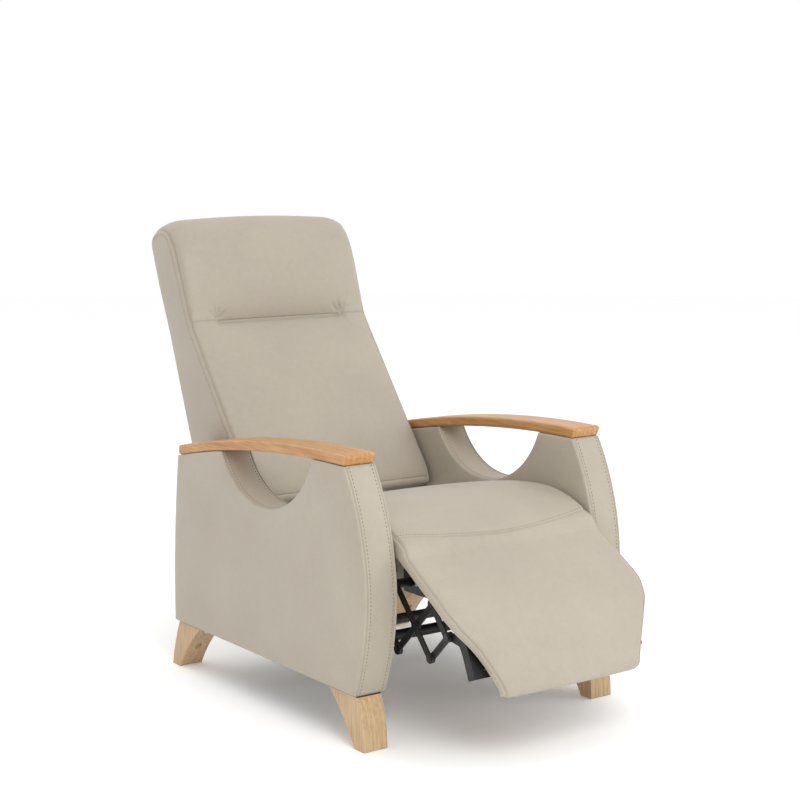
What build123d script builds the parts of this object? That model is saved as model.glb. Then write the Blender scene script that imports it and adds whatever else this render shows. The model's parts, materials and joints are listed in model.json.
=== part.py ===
from build123d import *
from math import atan2, cos, degrees, hypot, radians, sin, sqrt, tan
import os

os.makedirs("parts", exist_ok=True)

# The chair stands on z = 0 and faces -Y. Left and right are as seen from the front.
# Depths are those of the side drawing, whose datum is middle_y in front of the middle of the chair.
SIDES = {"left": -1, "right": 1}

# Plates of the mechanism, from the base rails towards the middle
LAYERS = ("swing", "seat", "main", "cross", "drive")

chair_width = 720
middle_y = 36.8
air = 0.3  # left between curved or soft faces that only just meet
overrun = 3  # how far a cut runs past the faces that it opens

# Arms: y is depth, plain names are heights
arm_width = 84
arm_low = 118
arm_rear_low_y = 447
arm_rear_top_y = 420
arm_rear_top = 533
arm_front_top_y = -298
arm_front_top = 607
arm_belly_y = -379.5
arm_belly = 335
arm_chin_y = -336
arm_rear_bulge = 8.5
arm_top_bulge = 21
arm_front_bulge = 18.4
arm_chin_bulge = 10.5
cover_wall = 5
cover_edge = 4
arm_panel = 15
arm_rail = 28

# Hand hole through each arm, open at the top and bridged by the cap
hole_rear_y = 212
hole_low_y = 34
hole_low = 467
hole_front_y = -176
hole_rear_bulge = 28.5
hole_front_bulge = 40

# Wooden caps
cap_thickness = 24
cap_rear_y = 417
cap_front_y = -295
cap_lean = 11
cap_inset = 1
cap_edge = 6
cap_screw_radius = 2.5
cap_screw_length = 36
cap_screw_grip = 13
cap_screw_rows = (-255, 262, 375)

# Legs
leg_width = 61
leg_inset = 8
leg_plate = 3
leg_bolt_radius = 4
leg_bolt_head = 6.5
leg_bolt_head_height = 4
leg_bolt_reach = 22
leg_bolt_seat = 14
leg_bore = 7.5
bolt_play = 0.4
leg_bolt_places = (21, 63)
foot_depth = 36
front_foot_y = -361
front_leg_top_y = -337
front_leg_depth = 109
front_shin_bulge = 6
front_calf_bulge = 6.5
rear_foot_y = 475
rear_leg_top_y = 437
rear_leg_depth = 100
rear_shin_bulge = 4
rear_calf_bulge = 7

# Mechanism plates, stacked from the base rails towards the middle
plate_thickness = 4
plate_gap = 0.8
pin_radius = 5
pin_play = 0.1
pin_head = 8
pin_head_height = 1.4
eye_radius = 11
link_width = 15

# Base rails and cross tubes
rail_depth = 22
rail_height = 60
rail_lift = 7
rail_wall = 4
rail_front_y = -250
rail_rear_y = 330
rail_bolt_places = (-215, 30, 270)
rail_bolt_radius = 4
rail_bolt_head = 7
rail_bolt_head_height = 4
rail_bolt_reach = 12
tube_radius = 12.5
tube_wall = 2
front_tube_y = -100
rear_tube_y = 300
rear_panel_y = 398
rear_panel_thickness = 18
rear_panel_height = 120

# Swing links that carry the seat on the base rails
swing_length = 80
swing_places = {"front": -160, "rear": 160}

# Seat
seat_tilt = 9.5
seat_front_y = -285
seat_low = 417
seat_gap = 4
seat_frame_clear = 1.1
seat_frame_depth = 18
seat_frame_rail = 45
seat_frame_front = 38
seat_frame_length = 530
seat_web_thickness = 2
seat_web_width = 50
seat_web_count = 5
seat_flange_width = 43
seat_flange_thickness = 3.5
seat_band = 34
seat_rear_y = 214
seat_rear_top = 414
seat_mid_y = 20
seat_mid_top = 459
seat_peak_y = -205
seat_peak_top = 493
seat_knee_y = -285
seat_knee_top = 485
seat_crown = 12
seat_side_draw = 11
seat_edge = 16
seat_station_shares = (0, 0.2, 0.4, 0.6, 0.78, 0.89, 0.94, 0.965, 0.985, 1)
ear_radius = 14
ear_foot_share = 1.3

# Knee hinge, where the footrest turns about the seat's front roll
knee_y = -356
knee_z = 432
knee_roll = 22
knee_top_angle = 112
knee_low_angle = 305

# Footrest pad and board, along a path that starts at the knee
pad_length = 386
pad_slope_angle = 31
pad_run = 180
pad_bend_angle = 37
pad_bend_radius = 207
pad_top = 8
pad_low = 12
pad_crown = 7
pad_edge_crown = 1
pad_gap = 5.5
pad_outline_shares = (
    (0, 0.969), (0.233, 0.998), (0.531, 0.991), (0.648, 0.917), (0.751, 0.81), (0.855, 0.75), (1, 0.702),
)
board_thickness = 12
board_inset = 19.7
board_toe_draw = 56
board_start = 36
board_end = 372

# Footrest linkage
ankle_along = 211
ankle_below = 66.5
shin_offset = 58
cross_share = 0.64
tail_share = 1.2
torsion_share = 0.5
torsion_radius = 11

# Footrest brackets
bracket_start = 246
bracket_end = 352
bracket_height = 22
bracket_flange = 44
bracket_flange_thickness = 3.5
bracket_screw_places = (262, 298, 334)
bracket_screw_inset = 31
bracket_screw_radius = 2.5
bracket_screw_head = 5
bracket_screw_head_height = 1.5
bracket_screw_length = 9
bracket_neck_share = 0.8

# Back, drawn up its rear face from a point low behind the seat
back_tilt = 21
back_y = 463.7
back_z = 392.6
back_wall = 4
back_corner = 50
back_hem = -52
back_low = -47
back_foot = -8
back_neck = 440
back_top = 690
head_depth = 105
head_corner = 35
lumbar_depth = 233
back_rear_edge = 12
back_pad = 72
back_crown = 15
back_pad_edge = 18
back_pad_gap = 2
back_pad_corner = 13
back_panel = 17
back_panel_rear = 12.3
back_panel_low = -45
back_frame_gap = 3
back_rail_depth = 17
back_rail_height = 48
back_rail_places = (-21, 330, 616)
back_web_thickness = 2
back_web_width = 50
back_web_places = (60, 130, 200, 270, 410, 490, 560)

# Back hinge
hip_y = 235
hip_z = 375
hip_pin_radius = 6
bracket_bolt_radius = 4
bracket_bolt_head = 6.5
bracket_bolt_head_height = 3.5
bracket_bolt_reach = 12
bracket_bolt_places = (30, 100)
bracket_bolt_inset = 19
hip_plate_width = 32
hip_plate_foot = -54
hip_plate_top = 128
hip_plate_foot_inset = 18
hip_plate_top_inset = 3.4
hip_eye_radius = 14

arm_outer = chair_width / 2
arm_inner = arm_outer - arm_width
arm_top_start = (arm_rear_top_y, arm_rear_top)
arm_top_end = (arm_front_top_y, arm_front_top)
rail_inner = arm_inner - air - rail_depth
layer_pitch = plate_thickness + plate_gap
rail_low = arm_low + rail_lift
swing_low = rail_low + rail_height / 2
swing_high = swing_low + swing_length
leg_top = arm_low - leg_plate
leg_outer = arm_outer - leg_inset
leg_inner = leg_outer - leg_width
arm_middle = (arm_inner + arm_outer) / 2
leg_middle = (leg_inner + leg_outer) / 2
cap_screw_floor = arm_rear_top - arm_rail - 2 * cover_wall
cap_screw_rise = arm_front_top + arm_top_bulge - cap_screw_floor


def side(x):
    """The plane of the side drawing at x: first axis to the rear, second axis up."""
    return Plane(origin=(x, -middle_y, 0), x_dir=(0, 1, 0), z_dir=(1, 0, 0))


def level(z):
    """A level plane at height z: first axis to the right, second axis to the rear."""
    return Plane(origin=(0, -middle_y, z))


def layer(name):
    """Near and far x of a plate in the mechanism."""
    far = rail_inner - plate_gap - LAYERS.index(name) * layer_pitch
    return far - plate_thickness, far


def save(builder, name):
    """Labels a finished sub-part and writes it."""
    builder.part.label = name
    export_step(builder.part, f"parts/{name}.step")


# Widths that follow the arms and the mechanism's plates
seat_half_width = arm_inner - seat_gap
seat_frame_half_width = layer("seat")[0] - seat_frame_clear
seat_web_half_width = layer("seat")[1] - seat_flange_width - seat_frame_clear
pad_reach = arm_inner - pad_gap
board_half_width = layer("drive")[1] - board_inset
board_toe_half_width = board_half_width - board_toe_draw
bracket_screw_x = layer("drive")[1] - bracket_screw_inset
back_half_width = layer("main")[1] + back_panel + back_wall + 2 * air
back_panel_top = back_top - back_corner


def arc_height(y, start, end, bulge):
    """Height at y of the arc from start to end that stands bulge above its chord."""
    run, rise = end[0] - start[0], end[1] - start[1]
    chord = hypot(run, rise)
    radius = (chord * chord / 4 + bulge * bulge) / (2 * bulge)
    up = (-abs(rise) / chord if run * rise > 0 else abs(rise) / chord, abs(run) / chord)
    middle = ((start[0] + end[0]) / 2, (start[1] + end[1]) / 2)
    centre = (middle[0] - up[0] * (radius - bulge), middle[1] - up[1] * (radius - bulge))
    return centre[1] + sqrt(radius * radius - (y - centre[0]) ** 2)


def arm_top_at(y):
    return arc_height(y, arm_top_start, arm_top_end, arm_top_bulge)


def arm_face(inset=0):
    """Side outline of an arm with its hand hole, drawn in by inset but not at the bottom."""
    rear_low = (arm_rear_low_y, arm_low)
    belly = (arm_belly_y, arm_belly)
    chin = (arm_chin_y, arm_low)
    hole_rear = (hole_rear_y, arm_top_at(hole_rear_y))
    hole_floor = (hole_low_y, hole_low)
    hole_front = (hole_front_y, arm_top_at(hole_front_y))
    rear_mid = (hole_rear_y + arm_rear_top_y) / 2
    front_mid = (hole_front_y + arm_front_top_y) / 2
    with BuildLine() as outline:
        SagittaArc(rear_low, arm_top_start, -arm_rear_bulge)
        ThreePointArc(arm_top_start, (rear_mid, arm_top_at(rear_mid)), hole_rear)
        SagittaArc(hole_rear, hole_floor, hole_rear_bulge)
        SagittaArc(hole_floor, hole_front, hole_front_bulge)
        ThreePointArc(hole_front, (front_mid, arm_top_at(front_mid)), arm_top_end)
        SagittaArc(arm_top_end, belly, -arm_front_bulge)
        SagittaArc(belly, chin, -arm_chin_bulge)
        Line(chin, rear_low)
    make_face(outline.edges())
    if inset:
        offset(amount=-inset, mode=Mode.REPLACE)
        low = edges().sort_by(Axis.Y)[0]
        ends = sorted([low @ 0, low @ 1], key=lambda p: p.X)
        with BuildLine() as skirt:
            Polyline(
                (ends[0].X + inset, ends[0].Y + inset),
                (ends[0].X, ends[0].Y),
                (ends[0].X, arm_low),
                (ends[1].X, arm_low),
                (ends[1].X, ends[1].Y),
                (ends[1].X - inset, ends[1].Y + inset),
                close=True,
            )
        make_face(skirt.edges())


def cap_screw_circles(way, radius):
    """Rounds on a level sketch where the cap screws stand."""
    with Locations(*[(way * arm_middle, y) for y in cap_screw_rows]):
        Circle(radius)


def leg_bolt_spots(way, front=True, rear=True):
    """Places of the bolts that hold an arm's legs."""
    fronts = [front_leg_top_y + front_leg_depth - place for place in leg_bolt_places]
    rears = [rear_leg_top_y - rear_leg_depth + place for place in leg_bolt_places]
    return [(way * leg_middle, y) for y in front * fronts + rear * rears]


def make_arm(hand, way):
    """Frame, leather cover and wooden cap of one arm."""
    with BuildPart() as cover:
        with BuildSketch(side(way * arm_inner)):
            arm_face()
        extrude(amount=way * arm_width)
        rims = cover.faces().filter_by(Axis.X).edges()
        fillet(rims.filter_by(lambda e: e.bounding_box().max.Z > arm_low + overrun), cover_edge)
        with BuildSketch(side(way * (arm_inner + cover_wall))):
            arm_face(cover_wall)
        extrude(amount=way * (arm_width - 2 * cover_wall), mode=Mode.SUBTRACT)
        with BuildSketch(level(cap_screw_floor)):
            cap_screw_circles(way, cap_screw_radius + bolt_play)
        extrude(amount=cap_screw_rise, mode=Mode.SUBTRACT)
        with BuildSketch(side(way * (arm_inner - overrun))):
            with Locations(*[(y, swing_low) for y in rail_bolt_places]):
                Circle(rail_bolt_radius + bolt_play)
        extrude(amount=way * (overrun + 2 * cover_wall), mode=Mode.SUBTRACT)
    save(cover, f"arm_cover_{hand}")

    inner = arm_inner + cover_wall + air
    outer = arm_outer - cover_wall - air
    with BuildPart() as frame:
        with BuildSketch(side(way * inner)):
            arm_face(cover_wall + air)
        extrude(amount=way * (outer - inner))
        with BuildSketch(side(way * (inner + arm_panel))):
            arm_face(cover_wall + air + arm_rail)
            with Locations((0, arm_low)):
                Rectangle(2 * chair_width, 2 * arm_rail, mode=Mode.SUBTRACT)
        extrude(amount=way * (outer - inner), mode=Mode.SUBTRACT)
        with BuildSketch(side(way * (inner - overrun))):
            with Locations(*[(y, swing_low) for y in rail_bolt_places]):
                Circle(rail_bolt_radius + bolt_play)
        extrude(amount=way * (overrun + arm_panel), mode=Mode.SUBTRACT)
        with BuildSketch(level(arm_low)):
            with Locations(*leg_bolt_spots(way)):
                Circle(leg_bolt_radius + bolt_play)
        extrude(amount=leg_bolt_reach + bolt_play, mode=Mode.SUBTRACT)
        with BuildSketch(level(cap_screw_floor)):
            cap_screw_circles(way, cap_screw_radius + bolt_play)
        extrude(amount=cap_screw_rise, mode=Mode.SUBTRACT)
    save(frame, f"arm_frame_{hand}")

    with BuildPart() as cap:
        with BuildSketch(side(way * (arm_inner + cap_inset))):
            low = air
            high = air + cap_thickness
            middle_y_of_cap = (cap_rear_y + cap_front_y) / 2
            nose_y = cap_front_y - cap_lean
            with BuildLine():
                ThreePointArc(
                    (cap_rear_y, arm_top_at(cap_rear_y) + low),
                    (middle_y_of_cap, arm_top_at(middle_y_of_cap) + low),
                    (cap_front_y, arm_top_at(cap_front_y) + low),
                )
                Line((cap_front_y, arm_top_at(cap_front_y) + low), (nose_y, arm_top_at(cap_front_y) + high))
                ThreePointArc(
                    (nose_y, arm_top_at(cap_front_y) + high),
                    (middle_y_of_cap, arm_top_at(middle_y_of_cap) + high),
                    (cap_rear_y, arm_top_at(cap_rear_y) + high),
                )
                Line((cap_rear_y, arm_top_at(cap_rear_y) + high), (cap_rear_y, arm_top_at(cap_rear_y) + low))
            make_face()
        extrude(amount=way * (arm_width - 2 * cap_inset))
        fillet(cap.edges().filter_by(Axis.X), cap_edge)
        fillet(cap.faces().filter_by(Axis.X).edges(), cap_edge)
        for y in cap_screw_rows:
            with BuildSketch(level(arm_top_at(y) - overrun)):
                with Locations((way * arm_middle, y)):
                    Circle(cap_screw_radius + bolt_play)
            extrude(amount=overrun + air + cap_screw_grip + bolt_play, mode=Mode.SUBTRACT)
    save(cap, f"arm_cap_{hand}")


def make_cap_screws():
    """Screws from inside each arm's top rail into the cap."""
    with BuildPart() as screws:
        for way in SIDES.values():
            for y in cap_screw_rows:
                with BuildSketch(level(arm_top_at(y) + cap_screw_grip - cap_screw_length)):
                    with Locations((way * arm_middle, y)):
                        Circle(cap_screw_radius)
                extrude(amount=cap_screw_length)
    save(screws, "cap_screws")


def make_leg(name, way, sign, foot, top, depth, shin, calf):
    """One sabre leg that sweeps out to its foot, sign telling front (-1) from rear (+1)."""
    top_out, top_in = (top, leg_top), (top - sign * depth, leg_top)
    foot_out, foot_in = (foot, 0), (foot - sign * foot_depth, 0)
    spots = leg_bolt_spots(way, sign < 0, sign > 0)
    with BuildPart() as leg:
        with BuildSketch(side(way * leg_inner)):
            with BuildLine():
                SagittaArc(foot_out, top_out, sign * -shin)
                Line(top_out, top_in)
                SagittaArc(top_in, foot_in, sign * calf)
                Line(foot_in, foot_out)
            make_face()
        extrude(amount=way * leg_width)
        with BuildSketch(level(0)):
            with Locations(*spots):
                Circle(leg_bore)
        extrude(amount=leg_top - leg_bolt_seat, mode=Mode.SUBTRACT)
        with BuildSketch(level(0)):
            with Locations(*spots):
                Circle(leg_bolt_radius + bolt_play)
        extrude(amount=leg_top + overrun, mode=Mode.SUBTRACT)
    save(leg, name)


def make_leg_fixings():
    """Steel plates between the legs and the arms, and the bolts through them."""
    plate_spots = (
        (front_leg_top_y + front_leg_depth / 2, front_leg_depth),
        (rear_leg_top_y - rear_leg_depth / 2, rear_leg_depth),
    )
    with BuildPart() as plates:
        with BuildSketch(level(leg_top)):
            for way in SIDES.values():
                for y, depth in plate_spots:
                    with Locations((way * leg_middle, y)):
                        Rectangle(leg_width, depth)
                with Locations(*leg_bolt_spots(way)):
                    Circle(leg_bolt_radius + bolt_play, mode=Mode.SUBTRACT)
        extrude(amount=leg_plate)
    save(plates, "leg_plates")

    with BuildPart() as bolts:
        for way in SIDES.values():
            with BuildSketch(level(leg_top - leg_bolt_seat)):
                with Locations(*leg_bolt_spots(way)):
                    Circle(leg_bolt_radius)
            extrude(amount=leg_bolt_seat + leg_plate + leg_bolt_reach)
            with BuildSketch(level(leg_top - leg_bolt_seat)):
                with Locations(*leg_bolt_spots(way)):
                    RegularPolygon(leg_bolt_head, 6)
            extrude(amount=-leg_bolt_head_height)
    save(bolts, "leg_bolts")


def make_rail(hand, way):
    """Channel along the arm's inner face that carries the swing links."""
    with BuildPart() as rail:
        centre_y = (rail_front_y + rail_rear_y) / 2
        length = rail_rear_y - rail_front_y
        with BuildSketch(side(way * rail_inner)):
            with Locations((centre_y, swing_low)):
                RectangleRounded(length, rail_height, rail_wall)
        extrude(amount=way * rail_depth)
        with BuildSketch(side(way * (rail_inner + rail_wall))):
            with Locations((centre_y, swing_low)):
                Rectangle(length + overrun, rail_height - 2 * rail_wall)
        extrude(amount=way * rail_depth, mode=Mode.SUBTRACT)
        with BuildSketch(side(way * (rail_inner - overrun))):
            with Locations(*[(y, swing_low) for y in rail_bolt_places]):
                Circle(rail_bolt_radius + bolt_play)
            with Locations(*[(y, swing_low) for y in swing_places.values()]):
                Circle(pin_radius + pin_play)
        extrude(amount=way * (overrun + rail_depth), mode=Mode.SUBTRACT)
    save(rail, f"base_rail_{hand}")


def make_base_steel():
    """Cross tubes, rail bolts, swing pins and the panel across the rear."""
    for name, y in (("front_cross_tube", front_tube_y), ("rear_cross_tube", rear_tube_y)):
        with BuildPart() as tube:
            with BuildSketch(side(-rail_inner)):
                with Locations((y, swing_low)):
                    Circle(tube_radius)
                    Circle(tube_radius - tube_wall, mode=Mode.SUBTRACT)
            extrude(amount=2 * rail_inner)
        save(tube, name)

    with BuildPart() as bolts:
        for way in SIDES.values():
            places = [(y, swing_low) for y in rail_bolt_places]
            reach = rail_depth + air + cover_wall + air + rail_bolt_reach
            with BuildSketch(side(way * rail_inner)):
                with Locations(*places):
                    Circle(rail_bolt_radius)
            extrude(amount=way * reach)
            with BuildSketch(side(way * rail_inner)):
                with Locations(*places):
                    RegularPolygon(rail_bolt_head, 6)
            extrude(amount=-way * rail_bolt_head_height)
    save(bolts, "rail_bolts")

    with BuildPart() as panel:
        with BuildSketch(level(rail_low)):
            with Locations((0, rear_panel_y + rear_panel_thickness / 2)):
                Rectangle(2 * (arm_inner - air), rear_panel_thickness)
        extrude(amount=rear_panel_height)
        fillet(panel.edges().filter_by(Axis.X), cover_edge)
    save(panel, "rear_panel")

    with BuildPart() as pins:
        for way in SIDES.values():
            for y in swing_places.values():
                pin(way, (y, swing_low), layer("swing")[0], rail_inner + rail_wall, pin_radius)
    save(pins, "base_pivots")


def pin(way, point, near, far, radius=pin_radius):
    """A headed pivot pin through the plates between near and far."""
    with BuildSketch(side(way * (near - air))) as shaft:
        with Locations(point):
            Circle(radius)
    extrude(shaft.sketch, amount=way * (far - near + 2 * air))
    for x, reach in ((near - air, -pin_head_height), (far + air, pin_head_height)):
        with BuildSketch(side(way * x)) as head:
            with Locations(point):
                Circle(pin_head)
        extrude(head.sketch, amount=way * reach)


def link(way, plane, *points):
    """A flat link between its first two points, with an eye and a pin hole at every point."""
    near, far = layer(plane)
    start, end = points[:2]
    middle = ((start[0] + end[0]) / 2, (start[1] + end[1]) / 2)
    angle = degrees(atan2(end[1] - start[1], end[0] - start[0]))
    with BuildSketch(side(way * near)) as bar:
        with Locations(middle):
            Rectangle(hypot(end[0] - start[0], end[1] - start[1]), link_width, rotation=angle)
        with Locations(*points):
            Circle(eye_radius)
        with Locations(*points):
            Circle(pin_radius + pin_play, mode=Mode.SUBTRACT)
    extrude(bar.sketch, amount=way * (far - near))


# Footrest path, measured along it from the knee and above it along its normal
knee = (knee_y, knee_z)


def path_direction(slope):
    return -cos(radians(slope)), -sin(radians(slope))


def path_normal(slope):
    return -sin(radians(slope)), cos(radians(slope))


def path_slope(along):
    bend = radians(pad_bend_angle) * pad_bend_radius
    return pad_slope_angle + pad_bend_angle * min(max((along - pad_run) / bend, 0), 1)


def path_point(along, above=0):
    """A (y, z) on the footrest: a straight, a bend and a straight toe."""
    bend = radians(pad_bend_angle) * pad_bend_radius
    slope = path_slope(along)
    straight = min(along, pad_run)
    toe = max(along - pad_run - bend, 0)
    u, n = path_direction(pad_slope_angle), path_normal(pad_slope_angle)
    m, w = path_normal(slope), path_direction(slope)
    y = knee_y + straight * u[0] + pad_bend_radius * (m[0] - n[0]) + toe * w[0] + above * m[0]
    z = knee_z + straight * u[1] + pad_bend_radius * (m[1] - n[1]) + toe * w[1] + above * m[1]
    return y, z


bend_end = pad_run + radians(pad_bend_angle) * pad_bend_radius


def path_plane(along, above=0):
    """The plane across the footrest: first axis to the right, second axis out of its top."""
    y, z = path_point(along, above)
    u = path_direction(path_slope(along))
    return Plane(origin=(0, y - middle_y, z), x_dir=(1, 0, 0), z_dir=(0, -u[0], -u[1]))


def path_band(start, end, low, high):
    """Side outline of a strip that follows the footrest between two heights above the path."""
    bend_from = max(start, pad_run)
    bend_to = min(end, bend_end)
    middle = (bend_from + bend_to) / 2
    with BuildLine() as outline:
        for height in (low, high):
            if start < pad_run:
                Line(path_point(start, height), path_point(pad_run, height))
            ThreePointArc(
                path_point(bend_from, height), path_point(middle, height), path_point(bend_to, height)
            )
            if end > bend_end:
                Line(path_point(bend_end, height), path_point(end, height))
        Line(path_point(start, low), path_point(start, high))
        Line(path_point(end, low), path_point(end, high))
    make_face(outline.edges())


# Pivots of the footrest linkage. Each loop is a parallelogram, so its links turn with the footrest or not at all.
ankle = (
    knee_y + ankle_along * path_direction(pad_slope_angle)[0] - ankle_below * path_normal(pad_slope_angle)[0],
    knee_z + ankle_along * path_direction(pad_slope_angle)[1] - ankle_below * path_normal(pad_slope_angle)[1],
)
heel = (ankle[0] + shin_offset, ankle[1] - shin_offset)
hanger = (knee_y + shin_offset, knee_z - shin_offset)
arm_of_link = (heel[0] - hanger[0], heel[1] - hanger[1])
crossing = (hanger[0] + cross_share * arm_of_link[0], hanger[1] + cross_share * arm_of_link[1])
toggle = (crossing[0] - shin_offset, crossing[1] + shin_offset)
tail = (crossing[0] + tail_share * shin_offset, crossing[1] - tail_share * shin_offset)
drive = (hanger[0] + tail_share * shin_offset, hanger[1] - tail_share * shin_offset)
torsion = (
    drive[0] + torsion_share * (tail[0] - drive[0]),
    drive[1] + torsion_share * (tail[1] - drive[1]),
)
hip = (hip_y, hip_z)


def seat_point(back, up):
    """A (y, z) from the seat's front low corner: back along its tilted underside, up square to it."""
    c, s = cos(radians(seat_tilt)), sin(radians(seat_tilt))
    return seat_front_y + back * c + up * s, seat_low - back * s + up * c


def seat_along(y):
    """How far back along the seat's underside a depth y is."""
    return (y - seat_front_y) / cos(radians(seat_tilt))


def seat_plane(up=0):
    """The seat's tilted plane: first axis to the right, second axis to the rear."""
    y, z = seat_point(0, up)
    c, s = cos(radians(seat_tilt)), sin(radians(seat_tilt))
    return Plane(origin=(0, y - middle_y, z), x_dir=(1, 0, 0), z_dir=(0, s, c))


def ear(point):
    """A pivot ear that hangs from the seat plate's band to a pin."""
    root = seat_point(seat_along(point[0]), -seat_frame_depth - seat_flange_thickness)
    radius = ear_radius
    foot = ear_foot_share * radius
    with BuildLine() as outline:
        Polyline(
            (root[0] - foot, root[1]),
            (point[0] - radius, point[1]),
            (point[0] + radius, point[1]),
            (root[0] + foot, root[1]),
            close=True,
        )
    make_face(outline.edges())
    with Locations(point):
        Circle(radius)


def make_seat_plate(hand, way):
    """Side plate of the seat with ears for the swing links, the footrest linkage and the back."""
    near, far = layer("seat")
    top = -seat_frame_depth
    front, rear = -seat_frame_front, seat_along(hip_y) + ear_foot_share * ear_radius
    flange_rear = seat_frame_length - seat_frame_rail
    with BuildPart() as plate:
        with BuildSketch(side(way * near)):
            with BuildLine():
                Polyline(
                    seat_point(front, top),
                    seat_point(rear, top),
                    seat_point(rear, top - seat_band),
                    seat_point(front, top - seat_band),
                    close=True,
                )
            make_face()
            places = [(y, swing_high) for y in swing_places.values()]
            for place in (*places, drive, hip):
                ear(place)
            with Locations(hanger):
                Circle(ear_radius)
            with Locations(*places, drive, hanger):
                Circle(pin_radius + pin_play, mode=Mode.SUBTRACT)
            with Locations(hip):
                Circle(hip_pin_radius + pin_play, mode=Mode.SUBTRACT)
        extrude(amount=way * (far - near))
        with BuildSketch(side(way * (far - seat_flange_width))):
            with BuildLine():
                Polyline(
                    seat_point(front, top),
                    seat_point(flange_rear, top),
                    seat_point(flange_rear, top - seat_flange_thickness),
                    seat_point(front, top - seat_flange_thickness),
                    close=True,
                )
            make_face()
        extrude(amount=way * seat_flange_width)
    save(plate, f"seat_plate_{hand}")


def make_seat():
    """Wooden seat frame, its webbing and the cushion over them."""
    frame_rear = seat_frame_length - seat_frame_rail
    with BuildPart() as frame:
        rails = (
            (0, -seat_frame_front + seat_frame_rail / 2, 2 * seat_frame_half_width, seat_frame_rail),
            (0, frame_rear - seat_frame_rail / 2, 2 * seat_frame_half_width, seat_frame_rail),
        )
        stile_length = frame_rear + seat_frame_front - 2 * seat_frame_rail
        stile_x = seat_frame_half_width - seat_frame_rail / 2
        stile_t = (frame_rear - seat_frame_front) / 2
        stiles = [(way * stile_x, stile_t, seat_frame_rail, stile_length) for way in SIDES.values()]
        for x, t, wide, long in (*rails, *stiles):
            with BuildSketch(seat_plane(-seat_frame_depth)):
                with Locations((x, t)):
                    Rectangle(wide, long)
            extrude(amount=seat_frame_depth, mode=Mode.ADD)
    save(frame, "seat_frame")

    with BuildPart() as cushion:
        right = [seat_half_width * share for share in seat_station_shares]
        for x in [-x for x in reversed(right[1:])] + right:
            past_edge = max(abs(x) - seat_half_width + seat_edge, 0) / seat_edge
            with BuildSketch(side(x)):
                seat_section(
                    seat_side_draw * (1 - sqrt(1 - past_edge**2)),
                    seat_crown * (1 - (x / seat_half_width) ** 2),
                )
        loft(ruled=True)
    save(cushion, "seat_cushion")


def seat_section(draw, crown):
    """Side outline of the cushion, drawn in at its ends and crowned towards its middle."""
    roll = knee_roll - draw
    web = air + draw
    top_angle, low_angle = radians(knee_top_angle), radians(knee_low_angle)
    roll_top = (knee_y + roll * cos(top_angle), knee_z + roll * sin(top_angle))
    roll_front = (knee_y - roll, knee_z)
    roll_low = (knee_y + roll * cos(low_angle), knee_z + roll * sin(low_angle))
    low_front = seat_point(-seat_frame_front, web)
    rear_y = seat_rear_y - draw
    low_rear = (rear_y, seat_point(seat_along(rear_y), web)[1])
    high_rear = (rear_y, seat_rear_top - draw)
    peak = (seat_peak_y, seat_peak_top + crown - draw)
    with BuildLine() as outline:
        ThreePointArc(high_rear, (seat_mid_y, seat_mid_top + crown - draw), peak)
        ThreePointArc(peak, (seat_knee_y, seat_knee_top + crown * 3 / 4 - draw), roll_top)
        ThreePointArc(roll_top, roll_front, roll_low)
        Polyline(roll_low, low_front, low_rear, high_rear)
    make_face(outline.edges())


def make_pad():
    """Footrest pad: crowned, drawn in at its edges, narrowing to the toe."""
    with BuildPart() as pad:
        for along_share, width_share in pad_outline_shares:
            along, half_width = along_share * pad_length, width_share * pad_reach
            crown = pad_crown if 0 < along_share < 1 else pad_edge_crown
            with BuildSketch(path_plane(along)):
                edge = (pad_top + pad_low) / 2
                rim = half_width - edge
                with BuildLine():
                    Line((-rim, -pad_low), (rim, -pad_low))
                    ThreePointArc((rim, -pad_low), (half_width, pad_top - edge), (rim, pad_top))
                    ThreePointArc((rim, pad_top), (0, pad_top + crown), (-rim, pad_top))
                    ThreePointArc((-rim, pad_top), (-half_width, pad_top - edge), (-rim, -pad_low))
                make_face()
        loft()
        with BuildSketch(side(-pad_reach)):
            path_band(-overrun, pad_length, -pad_low, pad_top + pad_crown)
        extrude(amount=2 * pad_reach, mode=Mode.INTERSECT)
        with BuildSketch(side(-chair_width / 2)):
            with Locations(knee):
                Circle(knee_roll + air)
        extrude(amount=chair_width, mode=Mode.SUBTRACT)
    save(pad, "footrest_pad")


def make_board():
    """Bent plywood board under the pad, its toe corners cut away."""
    high = -pad_low - air
    low = high - board_thickness
    with BuildPart() as board:
        with BuildSketch(side(-board_half_width)):
            path_band(board_start, board_end, low, high)
        extrude(amount=2 * board_half_width)
        middle = (pad_run + bend_end) / 2
        with BuildSketch(path_plane(middle).rotated((90, 0, 0))):
            for way in SIDES.values():
                with BuildLine():
                    Polyline(
                        (way * (board_half_width + overrun), -overrun),
                        (way * board_half_width, -overrun),
                        (way * board_toe_half_width, -pad_length / 2),
                        (way * (board_half_width + overrun), -pad_length / 2),
                        close=True,
                    )
                make_face()
        extrude(amount=pad_length / 2, both=True, mode=Mode.SUBTRACT)
        for along in bracket_screw_places:
            with BuildSketch(screw_plane(along)):
                with Locations(*[(way * bracket_screw_x, 0) for way in SIDES.values()]):
                    Circle(bracket_screw_radius + bolt_play)
            extrude(amount=bracket_screw_length + bolt_play, mode=Mode.SUBTRACT)
    save(board, "footrest_board")


def screw_plane(along):
    """The plane that a bracket screw's head bears on, facing the board."""
    y, z = path_point(along, -pad_low - 3 * air - board_thickness - bracket_flange_thickness)
    n = path_normal(path_slope(along))
    return Plane(origin=(0, y - middle_y, z), x_dir=(1, 0, 0), z_dir=(0, n[0], n[1]))


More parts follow.
